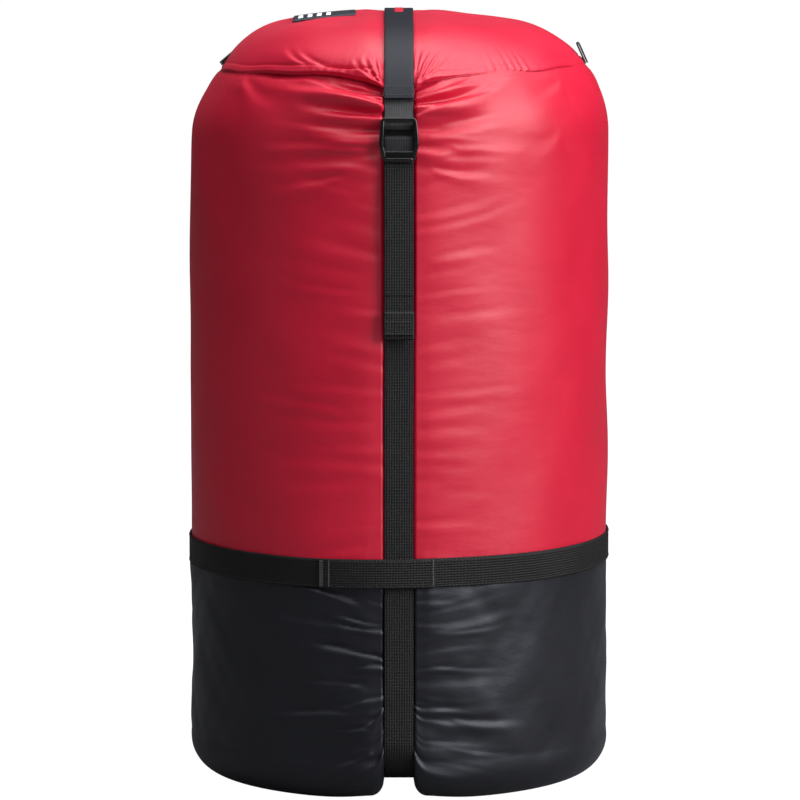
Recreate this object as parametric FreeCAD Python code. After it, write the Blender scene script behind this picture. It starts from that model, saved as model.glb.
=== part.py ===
"""Sleeping bag packed in its two-strap compression sack.

The sack stands on its base with the front strap facing -Y and +Z up. The origin is on the floor,
under the middle of the sack. All sizes are in millimetres.

The sack is a solid of revolution with a shallow groove front and back, where the tight strap lies.
Every layer of cloth and webbing is that same outline, moved in or out by its own inset.
"""
import FreeCAD, Part
import math
import os

# ---- driving sizes -------------------------------------------------------------------------------
SACK_RADIUS = 150.0
SACK_HEIGHT = 548.0          # top of the lid's cloth; the strap over it brings the whole to 550
BASE_CORNER_R = 30.0
SHOULDER_R = 80.0
DOME_R = 510.0
CLOTH = 1.2                  # coated nylon with its seam allowances
WEB = 1.3                    # polypropylene webbing
WEB_WIDTH = 20.0
GAP = 0.3                    # between layers that slide or only touch

BASE_SEAM_Z = 40.0           # base panel to lower panel
PANEL_SEAM_Z = 163.5         # lower panel to body panel
BODY_UNDER_LID = 1.0         # from the top of the body panel up to the lid's edge
SEAM_TAPE_WIDTH = 10.0
SEAM_TAPE = 1.0

STRAP_INSET = 0.3            # outer face of the compression strap, under the sack's outline
STRAP_LIFT = 14.0            # how far the tight strap pulls the base up off the floor
GROOVE_DEPTH = 3.8
GROOVE_SIDE = 0.5            # from the strap's edge to the groove's side

BAND_Z = 163.5               # middle of the waist band
BAND_OFFSET = 0.2
HANDLE_OFFSET = BAND_OFFSET + WEB + GAP
HANDLE_LEFT_X = -55.0
HANDLE_RIGHT_X = 25.0
BARTACK_X = (-54.0, -47.0, 24.0)
BARTACK = (1.6, 0.4)         # width of a row, and how far it stands proud

# A "drop" is measured down from SACK_HEIGHT.
LID_DROP = 44.0
LID_HEM_HEIGHT = 5.0
LID_HEM_PROUD = 0.9
LID_STRAP_DROP = 54.0
LID_STRAP_FOLD = 7.0         # height of the strap's turned-up end
LOOP_TUCK = 3.0              # how far the buckle's loop reaches up under the lid strap

# Ladder-lock buckle. "Out" is along the sack's radius from SACK_RADIUS.
BUCKLE_DROP = 66.2
BUCKLE_HEIGHT = 30.3
BUCKLE_DEPTH = 8.4
BUCKLE_PLAY = 0.8            # between the webbing's edges and the cheeks, in all
BUCKLE_CHEEK = 2.2
BAR_OUT = 1.85
LOOP_BAR_DOWN = 6.7          # from the buckle's top to the loop bar
LOOP_BAR_R = 1.2
GRIP_BAR_DOWN = 15.7
GRIP_BAR_R = 2.0
RIM_HEIGHT = 3.6
RIM_DEPTH = 2.4
LIP_HEIGHT = 6.9
LIP_THICKNESS = 2.0
WRAP_PLAY = 0.15             # from a bar to the webbing round it

TAIL_LENGTH = 123.0
TAIL_END_HEIGHT = 20.0
TAIL_END_LAYERS = 3

PATCH_SIZE = (45.0, 40.0)
PATCH_CENTRE = (-53.0, -15.0)
MARK_SIZE = (6.4, 62.0)
TRIM = 0.4                   # sewn patch and printed mark

TAB_LENGTH = 18.0
TAB_WEB = 1.2
TAB_OUT = 3.4                # from the lid's outline to the tab's root
RIGHT_TAB_LEAN = 14.0        # degrees in from upright
LEFT_TAB_LEAN = 42.0

MOUTH_RIM_R = 50.0
MOUTH_DROP = 19.0
COLLAR_INSET = 1.8
HEM_RING_R = 5.3
HEM_TUBE_R = 3.4
HEM_CHANNEL_R = 1.7
HEM_RISE = 4.0               # from the mouth's floor to the middle of the hem's tube
EYELET_R = 2.2
EYELET_FLANGE_R = 3.2
EYELET_FLANGE = 0.6

ROLL_DROP = 33.0
ROLL_CORE_R = 8.0
ROLL_PITCH = 24.0
ROLL_TURNS = 5
ROLL_CLEARANCE = 3.0         # from the sack's outline to the roll, past the seam tape
SHELL_PLY = 1.5
LINING_PLY = 2.4             # both linings, face to face
ZIP = (6.0, 2.6)             # width of the chain and its thickness
ZIP_BOTTOM_Z = 60.0
ZIP_DROP = 58.0
SLIDER_DROP = 176.0
SLIDER = (9.0, 12.0, 5.0)    # width, height and thickness
PULL = (4.0, 26.0, 1.4)

# ---- what follows from them ----------------------------------------------------------------------
V = FreeCAD.Vector
SHOULDER_X = SACK_RADIUS - SHOULDER_R
DOME_Z = SACK_HEIGHT - DOME_R
SHOULDER_Z = DOME_Z + math.sqrt((DOME_R - SHOULDER_R) ** 2 - SHOULDER_X ** 2)
BIG = 4 * SACK_HEIGHT
HALF_WEB = WEB_WIDTH / 2
HALF_GROOVE = HALF_WEB + GROOVE_SIDE
LID_EDGE_Z = SACK_HEIGHT - LID_DROP
BODY_TOP_Z = LID_EDGE_Z - BODY_UNDER_LID
LID_STRAP_END_Z = SACK_HEIGHT - LID_STRAP_DROP
LOOP_TOP_Z = LID_STRAP_END_Z + LOOP_TUCK
BUCKLE_TOP_Z = SACK_HEIGHT - BUCKLE_DROP
BUCKLE_BOTTOM_Z = BUCKLE_TOP_Z - BUCKLE_HEIGHT
LOOP_BAR_Z = BUCKLE_TOP_Z - LOOP_BAR_DOWN
GRIP_BAR_Z = BUCKLE_TOP_Z - GRIP_BAR_DOWN
LIP_TOP_Z = BUCKLE_BOTTOM_Z + LIP_HEIGHT
TAIL_OUT = BAR_OUT + GRIP_BAR_R + WRAP_PLAY
TAIL_TOP_Z = BUCKLE_BOTTOM_Z - 1
TAIL_END_BOTTOM_Z = TAIL_TOP_Z - TAIL_LENGTH
MOUTH_FLOOR_Z = SACK_HEIGHT - MOUTH_DROP
HEM_Z = MOUTH_FLOOR_Z + HEM_RISE
ROLL_TOP_Z = SACK_HEIGHT - ROLL_DROP
ZIP_TOP_Z = SACK_HEIGHT - ZIP_DROP
SLIDER_TOP_Z = SACK_HEIGHT - SLIDER_DROP


def box(x0, x1, y0, y1, z0, z1):
    """A box between the given planes."""
    return Part.makeBox(x1 - x0, y1 - y0, z1 - z0, V(x0, y0, z0))


def slab(half_width):
    """Everything within half_width of the plane that both straps lie in."""
    return box(-half_width, half_width, -BIG, BIG, -BIG, BIG)


def between(z0, z1):
    """Everything from one height to another."""
    return box(-BIG, BIG, -BIG, BIG, z0, z1)


def radius_at(z, inset=0.0):
    """Radius of the moved outline at a height on its side or shoulder."""
    rise = max(0.0, z - SHOULDER_Z)
    return SHOULDER_X + math.sqrt((SHOULDER_R - inset) ** 2 - rise ** 2)


def outline(inset, lift=0.0):
    """The sack's outline turned into a solid, moved in by inset; lift raises its base."""
    corner = BASE_CORNER_R - inset
    corner_x = SACK_RADIUS - BASE_CORNER_R
    corner_z = lift + BASE_CORNER_R
    shoulder = SHOULDER_R - inset
    dome = DOME_R - inset
    lean = math.atan2(SHOULDER_X, SHOULDER_Z - DOME_Z)

    def on_arc(x, z, r, angle):
        return V(x + r * math.cos(angle), 0, z + r * math.sin(angle))

    floor_axis = V(0, 0, lift + inset)
    floor_edge = V(corner_x, 0, lift + inset)
    corner_mid = on_arc(corner_x, corner_z, corner, -math.pi / 4)
    side_low = V(SACK_RADIUS - inset, 0, corner_z)
    side_high = V(SACK_RADIUS - inset, 0, SHOULDER_Z)
    join = math.pi / 2 - lean
    shoulder_mid = on_arc(SHOULDER_X, SHOULDER_Z, shoulder, join / 2)
    shoulder_end = on_arc(SHOULDER_X, SHOULDER_Z, shoulder, join)
    dome_mid = on_arc(0, DOME_Z, dome, math.pi / 2 - lean / 2)
    apex = V(0, 0, DOME_Z + dome)
    edges = [
        Part.LineSegment(floor_axis, floor_edge).toShape(),
        Part.Arc(floor_edge, corner_mid, side_low).toShape(),
        Part.LineSegment(side_low, side_high).toShape(),
        Part.Arc(side_high, shoulder_mid, shoulder_end).toShape(),
        Part.Arc(shoulder_end, dome_mid, apex).toShape(),
        Part.LineSegment(apex, floor_axis).toShape(),
    ]
    return Part.Face(Part.Wire(edges)).revolve(V(0, 0, 0), V(0, 0, 1), 360)


def groove(inset, depth, half_width):
    """All the space outside the groove's floor, which lies depth below the moved outline."""
    return slab(half_width).cut(outline(inset + depth, STRAP_LIFT))


def grooved(inset, depth, half_width):
    """The outline moved in by inset, with the strap's groove sunk into it."""
    return outline(inset).cut(groove(inset, depth, half_width))


def layer(outer_inset, thickness):
    """A skin of one thickness under the moved outline."""
    return outline(outer_inset).cut(outline(outer_inset + thickness))


def panel(z0, z1):
    """A panel of the sack's own cloth between two heights, pressed into the grooves."""
    skin = grooved(0, GROOVE_DEPTH, HALF_GROOVE).cut(
        grooved(CLOTH, GROOVE_DEPTH, HALF_GROOVE + CLOTH)
    )
    return skin.common(between(z0, z1))


def across(face_wires, half_width):
    """A section drawn in the Y-Z plane, swept along X to both sides."""
    face = Part.Face(face_wires[0])
    for hole in face_wires[1:]:
        face = face.cut(Part.Face(hole))
    shape = face.extrude(V(2 * half_width, 0, 0))
    shape.translate(V(-half_width, 0, 0))
    return shape


def front(out, z):
    """A point in the Y-Z plane, out from the front of the sack."""
    return V(0, -SACK_RADIUS - out, z)


def polygon(points):
    """A closed wire through points given as (out, z) at the front."""
    corners = [front(*p) for p in points]
    return Part.makePolygon(corners + corners[:1])


def teardrop(big, r_big, small, r_small):
    """The wire round two circles at the front, each given by its (out, z) middle."""
    c1, c2 = front(*big), front(*small)
    along = c2 - c1
    heading = math.atan2(along.z, along.y)
    spread = math.acos((r_big - r_small) / along.Length)

    def rim(c, r, angle):
        return V(0, c.y + r * math.cos(angle), c.z + r * math.sin(angle))

    a1, a2 = heading + spread, heading - spread
    edges = [
        Part.Arc(rim(c1, r_big, a1), rim(c1, r_big, heading + math.pi), rim(c1, r_big, a2)).toShape(),
        Part.LineSegment(rim(c1, r_big, a2), rim(c2, r_small, a2)).toShape(),
        Part.Arc(rim(c2, r_small, a2), rim(c2, r_small, heading), rim(c2, r_small, a1)).toShape(),
        Part.LineSegment(rim(c2, r_small, a1), rim(c1, r_big, a1)).toShape(),
    ]
    return Part.Wire(edges)


def bar(out, z, r, half_width):
    """A round bar along X at the front."""
    centre = front(out, z)
    return Part.makeCylinder(r, 2 * half_width, V(-half_width, centre.y, centre.z), V(1, 0, 0))


def at_back(shape):
    """The same piece turned round to the back of the sack."""
    turned = shape.copy()
    turned.rotate(V(0, 0, 0), V(0, 0, 1), 180)
    return turned


# ---- the sack ------------------------------------------------------------------------------------
def seam_tape(z):
    """Binding round the inside of a seam, cut where the groove passes."""
    ring = layer(CLOTH + 0.1, SEAM_TAPE)
    ring = ring.common(between(z - SEAM_TAPE_WIDTH / 2, z + SEAM_TAPE_WIDTH / 2))
    return ring.cut(slab(HALF_GROOVE + CLOTH + 0.2))


def waist_band():
    """Webbing round the sack over the panel seam and the straps."""
    ring = layer(-BAND_OFFSET - WEB, WEB)
    return ring.common(between(BAND_Z - HALF_WEB, BAND_Z + HALF_WEB))


def front_arc(offset, thickness, x0, x1, half_height):
    """A strip round the front at the band's height, from one x to another."""
    ring = layer(-offset - thickness, thickness)
    return ring.common(box(x0, x1, -BIG, 0, BAND_Z - half_height, BAND_Z + half_height))


def carry_handle():
    return front_arc(HANDLE_OFFSET, WEB, HANDLE_LEFT_X, HANDLE_RIGHT_X, HALF_WEB)


def handle_bartacks():
    width, proud = BARTACK
    rows = [
        front_arc(HANDLE_OFFSET + WEB + 0.02, proud, x - width / 2, x + width / 2, HALF_WEB - 1)
        for x in BARTACK_X
    ]
    return Part.makeCompound(rows)


def compression_strap():
    """One webbing from the front buckle, under the base and up to the back buckle."""
    skin = outline(STRAP_INSET, STRAP_LIFT).cut(outline(STRAP_INSET + WEB, STRAP_LIFT))
    return skin.common(slab(HALF_WEB)).common(between(-BIG, TAIL_TOP_Z - GAP))


# ---- the lid -------------------------------------------------------------------------------------
def lid_panel():
    return layer(0, CLOTH).common(between(LID_EDGE_Z + LID_HEM_HEIGHT + 0.1, BIG))


def lid_hem():
    """The lid's rolled edge, open under the strap."""
    ring = layer(-LID_HEM_PROUD, LID_HEM_PROUD + CLOTH)
    ring = ring.common(between(LID_EDGE_Z, LID_EDGE_Z + LID_HEM_HEIGHT))
    return ring.cut(slab(HALF_WEB + GAP))


def lid_strap():
    """Flat webbing over the lid with its two ends turned up on themselves."""
    long = layer(-GAP - WEB, WEB).common(slab(HALF_WEB)).common(between(LID_STRAP_END_Z, BIG))
    fold = layer(-GAP - 2 * WEB, WEB).common(slab(HALF_WEB))
    fold = fold.common(between(LID_STRAP_END_Z, LID_STRAP_END_Z + LID_STRAP_FOLD))
    return long.fuse(fold).removeSplitter()


def strap_mark():
    """Plain coloured bar printed along the strap's crown."""
    width, length = MARK_SIZE
    skin = layer(-GAP - WEB - 0.02 - TRIM, TRIM)
    return skin.common(box(-width / 2, width / 2, -length / 2, length / 2, SHOULDER_Z, BIG))


def lid_patch():
    """Plain sewn patch beside the strap."""
    (width, depth), (x, y) = PATCH_SIZE, PATCH_CENTRE
    area = box(x - width / 2, x + width / 2, y - depth / 2, y + depth / 2, SHOULDER_Z, BIG)
    return layer(-0.02 - TRIM, TRIM).common(area)


def buckle_loop():
    """Webbing doubled round the buckle's upper bar and sewn under the end of the lid strap."""
    inner = LOOP_BAR_R + WRAP_PLAY
    fold = WEB + 0.05
    tuck = radius_at(LOOP_TOP_Z) - SACK_RADIUS - fold - 0.5
    ring = [(BAR_OUT, LOOP_BAR_Z), (tuck, LOOP_TOP_Z)]
    outer = teardrop(ring[0], inner + WEB, ring[1], fold)
    hole = teardrop(ring[0], inner, ring[1], fold - WEB)
    return across([outer, hole], HALF_WEB)


def tab(lean, side):
    """Small hairpin of webbing on the lid's edge, leaning in towards the crown."""
    r = TAB_WEB + 0.3
    ring = Part.makeBox(2 * r, WEB_WIDTH, TAB_LENGTH - r, V(-r, -HALF_WEB, 0))
    ring = ring.fuse(Part.makeCylinder(r, WEB_WIDTH, V(0, -HALF_WEB, TAB_LENGTH - r), V(0, 1, 0)))
    slot = r - TAB_WEB
    hole = Part.makeBox(2 * slot, WEB_WIDTH, TAB_LENGTH - r - TAB_WEB, V(-slot, -HALF_WEB, TAB_WEB))
    hole = hole.fuse(
        Part.makeCylinder(slot, WEB_WIDTH, V(0, -HALF_WEB, TAB_LENGTH - r), V(0, 1, 0))
    )
    shape = ring.cut(hole).removeSplitter()
    shape.rotate(V(0, 0, 0), V(0, 1, 0), -side * lean)
    root_z = LID_EDGE_Z + LID_HEM_HEIGHT + r
    shape.translate(V(side * (radius_at(root_z) + TAB_OUT), 0, root_z))
    return shape


# ---- the buckles and the strap's free ends -------------------------------------------------------
def buckle():
    """Ladder-lock: two cheeks, a rim, a loop bar, a grip bar and a release lip."""
    inner = (WEB_WIDTH + BUCKLE_PLAY) / 2
    outer = inner + BUCKLE_CHEEK
    side = polygon(
        [
            (0.4, GRIP_BAR_Z + 2),
            (1.2, LOOP_BAR_Z + 1.4),
            (3.4, BUCKLE_TOP_Z - 0.8),
            (BUCKLE_DEPTH - RIM_DEPTH - 0.8, BUCKLE_TOP_Z),
            (BUCKLE_DEPTH - 0.8, BUCKLE_TOP_Z),
            (BUCKLE_DEPTH - 0.3, LOOP_BAR_Z),
            (BUCKLE_DEPTH, GRIP_BAR_Z - 3),
            (BUCKLE_DEPTH - 0.8, BUCKLE_BOTTOM_Z),
            (BUCKLE_DEPTH - 2.6, BUCKLE_BOTTOM_Z),
            (0.4, LIP_TOP_Z),
        ]
    )
    cheeks = across([side], outer).cut(across([side], inner))
    rim = across(
        [
            polygon(
                [
                    (BUCKLE_DEPTH - RIM_DEPTH - 0.8, BUCKLE_TOP_Z - RIM_HEIGHT),
                    (BUCKLE_DEPTH - RIM_DEPTH - 0.8, BUCKLE_TOP_Z),
                    (BUCKLE_DEPTH - 0.8, BUCKLE_TOP_Z),
                    (BUCKLE_DEPTH - 0.8, BUCKLE_TOP_Z - RIM_HEIGHT),
                ]
            )
        ],
        inner + 0.5,
    )
    lip = across(
        [
            polygon(
                [
                    (BUCKLE_DEPTH - LIP_THICKNESS, LIP_TOP_Z),
                    (BUCKLE_DEPTH - 0.2, LIP_TOP_Z),
                    (BUCKLE_DEPTH - 0.8, BUCKLE_BOTTOM_Z),
                    (BUCKLE_DEPTH - 2.6, BUCKLE_BOTTOM_Z),
                ]
            )
        ],
        inner + 0.5,
    )
    # The cheeks taper in to the lip below the grip bar.
    taper = 2.4
    wedge = Part.makePolygon(
        [
            V(outer + 1, 0, LIP_TOP_Z),
            V(outer, 0, LIP_TOP_Z),
            V(outer - taper, 0, BUCKLE_BOTTOM_Z),
            V(outer + 1, 0, BUCKLE_BOTTOM_Z - 1),
            V(outer + 1, 0, LIP_TOP_Z),
        ]
    )
    trim = Part.Face(wedge).extrude(V(0, -BIG, 0))
    frame = cheeks.fuse([rim, lip])
    frame = frame.fuse(
        [
            bar(BAR_OUT, LOOP_BAR_Z, LOOP_BAR_R, inner + 0.5),
            bar(BAR_OUT, GRIP_BAR_Z, GRIP_BAR_R, inner + 0.5),
        ]
    )
    frame = frame.cut([trim, trim.mirror(V(0, 0, 0), V(1, 0, 0))])
    return frame.removeSplitter()


def strap_wrap():
    """The strap where it comes up behind the grip bar, over it and down behind the lip."""
    r0 = GRIP_BAR_R + WRAP_PLAY
    r1 = r0 + WEB
    ring = bar(BAR_OUT, GRIP_BAR_Z, r1, HALF_WEB).cut(bar(BAR_OUT, GRIP_BAR_Z, r0, HALF_WEB))
    ring = ring.common(between(GRIP_BAR_Z, BIG))
    legs = [
        across([polygon([(a, TAIL_TOP_Z), (b, TAIL_TOP_Z), (b, GRIP_BAR_Z), (a, GRIP_BAR_Z)])], HALF_WEB)
        for a, b in ((BAR_OUT - r1, BAR_OUT - r0), (BAR_OUT + r0, BAR_OUT + r1))
    ]
    return ring.fuse(legs).removeSplitter()


def flat_strip(out, thickness, z0, z1, half_width=HALF_WEB):
    """Webbing hanging straight down at the front."""
    return across(
        [polygon([(out, z0), (out + thickness, z0), (out + thickness, z1), (out, z1)])], half_width
    )


def tail_strip():
    return flat_strip(TAIL_OUT, WEB, TAIL_END_BOTTOM_Z + TAIL_END_HEIGHT + 0.05, TAIL_TOP_Z - 0.05)


def tail_end():
    """The free end, folded over twice and sewn so that it can't pull through the buckle."""
    thickness = TAIL_END_LAYERS * WEB
    top = TAIL_END_BOTTOM_Z + TAIL_END_HEIGHT
    shape = flat_strip(TAIL_OUT, thickness, TAIL_END_BOTTOM_Z, top, HALF_WEB + 0.4)
    rounded = [
        e
        for e in shape.Edges
        if abs(e.Length - 2 * (HALF_WEB + 0.4)) < 1e-6
    ]
    return shape.makeFillet(WEB / 2, rounded)


def tail_stitches():
    """Two rows of stitching across the folded end."""
    out = TAIL_OUT + TAIL_END_LAYERS * WEB + 0.02
    rows = [
        flat_strip(out, BARTACK[1], TAIL_END_BOTTOM_Z + h, TAIL_END_BOTTOM_Z + h + 1.2, HALF_WEB - 1)
        for h in (4.0, 12.0)
    ]
    return Part.makeCompound(rows)


# ---- the mouth under the lid ---------------------------------------------------------------------
def bowl(floor_z):
    """The ball that hollows the middle of the collar down to floor_z."""
    rim_z = DOME_Z + math.sqrt((DOME_R - COLLAR_INSET) ** 2 - MOUTH_RIM_R ** 2)
    depth = rim_z - MOUTH_FLOOR_Z
    r = (MOUTH_RIM_R ** 2 + depth ** 2) / (2 * depth)
    drop = MOUTH_FLOOR_Z - floor_z
    return Part.makeSphere(r + drop, V(0, 0, MOUTH_FLOOR_Z + r))


def mouth_collar():
    """The sack's top drawn in to the closing cord."""
    outer = outline(COLLAR_INSET).cut(bowl(MOUTH_FLOOR_Z))
    inner = outline(COLLAR_INSET + CLOTH).cut(bowl(MOUTH_FLOOR_Z - CLOTH))
    skin = outer.cut(inner).common(between(BODY_TOP_Z + GAP, BIG))
    return skin.cut(Part.makeCylinder(HEM_RING_R + HEM_TUBE_R + 0.1, BIG))


def mouth_hem():
    """The tube at the collar's edge, with a channel for a closing cord."""
    ring = Part.makeTorus(HEM_RING_R, HEM_TUBE_R, V(0, 0, HEM_Z))
    ring = ring.cut(Part.makeTorus(HEM_RING_R, HEM_CHANNEL_R, V(0, 0, HEM_Z)))
    return ring.cut(Part.makeCylinder(EYELET_R + 0.02, BIG, V(0, -HEM_RING_R, HEM_Z), V(0, -1, 0)))


def mouth_eyelet():
    """Flanged metal tube where the channel opens to the front."""
    start = HEM_RING_R + HEM_CHANNEL_R
    end = HEM_RING_R + HEM_TUBE_R + 0.1
    out = V(0, -1, 0)
    tube = Part.makeCylinder(EYELET_R, end - start, V(0, -start, HEM_Z), out)
    flange = Part.makeCylinder(EYELET_FLANGE_R, EYELET_FLANGE, V(0, -end, HEM_Z), out)
    hole = Part.makeCylinder(HEM_CHANNEL_R, BIG, V(0, -start + 1, HEM_Z), out)
    return tube.fuse(flange).cut(hole).removeSplitter()


# ---- the sleeping bag inside ---------------------------------------------------------------------
def roll_ply(depth0, depth1):
    """One ply of the rolled bag, between two depths in from the roll's outer face.

    The spiral is half circles whose middles take turns on two centres, so that each half turn
    starts where the last one ended and every ply keeps its thickness.
    """
    step = ROLL_PITCH / 4
    halves = int(2 * ROLL_TURNS)

    def spiral(depth):
        arcs = []
        for i in range(halves):
            r = ROLL_CORE_R + ROLL_PITCH + i * ROLL_PITCH / 2 - depth
            up = 1 if i % 2 == 0 else -1
            cx = -up * step
            arcs.append(Part.Arc(V(cx + up * r, 0, 0), V(cx, up * r, 0), V(cx - up * r, 0, 0)))
        return [a.toShape() for a in arcs]

    outer, inner = spiral(depth0), spiral(depth1)
    ends = [
        Part.LineSegment(outer[i].valueAt(p(outer[i])), inner[i].valueAt(p(inner[i]))).toShape()
        for i, p in ((0, lambda e: e.FirstParameter), (-1, lambda e: e.LastParameter))
    ]
    wire = Part.Wire(Part.__sortEdges__(outer + inner + ends))
    ply = Part.Face(wire).extrude(V(0, 0, ROLL_TOP_Z))
    inset = ROLL_CLEARANCE + GAP
    return ply.common(outline(inset)).cut(groove(inset, GROOVE_DEPTH, HALF_GROOVE + inset))


def zip_x():
    """Where the zip lies against the roll's outer end, in the middle of its thickness."""
    end = ROLL_CORE_R + ROLL_PITCH + (2 * ROLL_TURNS - 1) * ROLL_PITCH / 2 + ROLL_PITCH / 4
    return end - ROLL_PITCH / 2


def bag_zip():
    width, thickness = ZIP
    x = zip_x()
    return box(x - thickness / 2, x + thickness / 2, GAP, GAP + width, ZIP_BOTTOM_Z, ZIP_TOP_Z)


def bag_zip_slider():
    width, height, thickness = SLIDER
    x, y = zip_x(), GAP + ZIP[0] / 2
    low, high = SLIDER_TOP_Z - height, SLIDER_TOP_Z
    body = box(x - thickness / 2, x + thickness / 2, y, y + width / 2 + 1, low, high)
    reach = ZIP[1] / 2 + GAP
    return body.cut(box(x - reach, x + reach, 0, GAP * 2 + ZIP[0], low - 1, high + 1))


def bag_zip_pull():
    width, height, thickness = PULL
    x = zip_x() - SLIDER[2] / 2 - GAP
    y = GAP + ZIP[0] + 1
    top = SLIDER_TOP_Z - 4
    return box(x - thickness, x, y, y + width, top - height, top)


def export(name, shape):
    """Writes one sub-part, after checking that its solids are closed and valid."""
    solids = shape.Solids
    for solid in solids:
        if not solid.isValid() or solid.Volume <= 0:
            raise ValueError(f"{name} has a solid that isn't valid")
    out = solids[0] if len(solids) == 1 else Part.makeCompound(solids)
    out.exportStep(f"parts/{name}.step")
    box_of = out.BoundBox
    print(f"{name}: {len(solids)} solid(s), z {box_of.ZMin:.1f} to {box_of.ZMax:.1f}")


def main():
    os.makedirs("parts", exist_ok=True)
    fill_ply = (ROLL_PITCH - 2 * SHELL_PLY - LINING_PLY - 5 * GAP) / 2
    pieces = {
        "base_panel": panel(-BIG, BASE_SEAM_Z - 0.05),
        "lower_panel": panel(BASE_SEAM_Z + 0.05, PANEL_SEAM_Z - 0.05),
        "body_panel": panel(PANEL_SEAM_Z + 0.05, BODY_TOP_Z),
        "base_seam_tape": seam_tape(BASE_SEAM_Z + SEAM_TAPE_WIDTH / 2),
        "panel_seam_tape": seam_tape(PANEL_SEAM_Z),
        "waist_band": waist_band(),
        "carry_handle": carry_handle(),
        "handle_bartacks": handle_bartacks(),
        "compression_strap": compression_strap(),
        "lid_panel": lid_panel(),
        "lid_hem": lid_hem(),
        "lid_strap": lid_strap(),
        "strap_mark": strap_mark(),
        "lid_patch": lid_patch(),
        "left_tab": tab(LEFT_TAB_LEAN, -1),
        "right_tab": tab(RIGHT_TAB_LEAN, 1),
        "mouth_collar": mouth_collar(),
        "mouth_hem": mouth_hem(),
        "mouth_eyelet": mouth_eyelet(),
        "bag_zip": bag_zip(),
        "bag_zip_slider": bag_zip_slider(),
        "bag_zip_pull": bag_zip_pull(),
    }
    plies = {
        "bag_base_shell": SHELL_PLY,
        "bag_base_fill": fill_ply,
        "bag_lining": LINING_PLY,
        "bag_top_fill": fill_ply,
        "bag_top_shell": SHELL_PLY,
    }
    depth = 0
    for name, ply in plies.items():
        pieces[name] = roll_ply(depth, depth + ply)
        depth += ply + GAP
    twins = {
        "buckle_loop": buckle_loop(),
        "buckle": buckle(),
        "strap_wrap": strap_wrap(),
        "tail_strip": tail_strip(),
        "tail_end": tail_end(),
        "tail_stitches": tail_stitches(),
    }
    for name, shape in twins.items():
        pieces["front_" + name] = shape
        pieces["back_" + name] = at_back(shape)
    for name, shape in pieces.items():
        export(name, shape)


main()
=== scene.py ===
"""Looks of a sleeping bag packed upright in its two-strap compression sack.

The sack is a solid of revolution: a flat base, a corner arc, a straight side, a shoulder arc and a
domed lid. A place on its cloth is given by the angle round it, 0 at the front strap and rising
towards +X, and by the arc length s from the middle of the base. "Proud" is a distance outwards
from that outline. Sizes are in metres.
"""

import math
from functools import partial

import bmesh
import bpy
import numpy as np
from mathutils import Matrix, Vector


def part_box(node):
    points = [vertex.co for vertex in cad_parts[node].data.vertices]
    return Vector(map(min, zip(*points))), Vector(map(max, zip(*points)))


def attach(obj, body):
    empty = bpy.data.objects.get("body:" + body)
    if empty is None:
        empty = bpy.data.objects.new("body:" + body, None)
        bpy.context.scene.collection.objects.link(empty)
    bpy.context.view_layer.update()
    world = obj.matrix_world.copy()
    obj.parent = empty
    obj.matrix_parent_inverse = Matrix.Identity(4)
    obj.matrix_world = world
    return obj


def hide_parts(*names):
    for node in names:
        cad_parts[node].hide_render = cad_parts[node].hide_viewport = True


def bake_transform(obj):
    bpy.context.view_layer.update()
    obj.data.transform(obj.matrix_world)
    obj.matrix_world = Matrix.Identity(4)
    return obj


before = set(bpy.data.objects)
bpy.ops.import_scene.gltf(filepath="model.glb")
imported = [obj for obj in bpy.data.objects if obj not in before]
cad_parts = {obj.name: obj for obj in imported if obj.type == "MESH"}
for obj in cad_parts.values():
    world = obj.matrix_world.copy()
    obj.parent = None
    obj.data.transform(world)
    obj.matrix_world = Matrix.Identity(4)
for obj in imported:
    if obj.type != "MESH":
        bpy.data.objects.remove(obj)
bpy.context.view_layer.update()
MM = 0.001
TURN = 2 * math.pi


def low(node, axis):
    """Lowest coordinate of a solid part along an axis, 0 to 2."""
    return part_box(node)[0][axis]


def high(node, axis):
    """Highest coordinate of a solid part along an axis."""
    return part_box(node)[1][axis]


# ---- sizes taken from the frame --------------------------------------------------------------
SACK_R = high("body_panel", 0)
SEAM_Z = (low("waist_band", 2) + high("waist_band", 2)) / 2
CROWN_Z = high("lid_panel", 2)
LID_EDGE_Z = low("lid_hem", 2)
BODY_TOP_Z = LID_EDGE_Z - 1 * MM
HALF_WEB = high("lid_strap", 0) + 0.25 * MM
STRAP_LOW_Z = low("compression_strap", 2)
STRAP_TOP_Z = high("compression_strap", 2)
BUCKLE_TOP_Z = high("front_buckle", 2)
BUCKLE_LOW_Z = low("front_buckle", 2)
TAIL_LOW_Z = low("front_tail_end", 2)
TAIL_END_TOP_Z = high("front_tail_end", 2)
LOOP_TOP_Z = LID_EDGE_Z - 7 * MM
LID_STRAP_LOW_Z = low("lid_strap", 2)

# ---- sizes of the outline and of the webbing, as the solid parts have them ---------------------
CORNER_R = 30 * MM
SHOULDER_R = 80 * MM
DOME_R = 510 * MM
WEB = 1.3 * MM
STRAP_INSET = 0.3 * MM
STRAP_LIFT = STRAP_LOW_Z - STRAP_INSET
TIGHT_PROUD = -STRAP_INSET - WEB / 2
STRAP_JOIN_Z = 371 * MM
BAR_OUT = 1.85 * MM
LOOP_BAR_Z = BUCKLE_TOP_Z - 6.7 * MM
LOOP_BAR_R = 1.2 * MM
GRIP_BAR_Z = BUCKLE_TOP_Z - 15.7 * MM
GRIP_BAR_R = 2.0 * MM
TAIL_OUT = BAR_OUT + GRIP_BAR_R + 0.15 * MM

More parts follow.
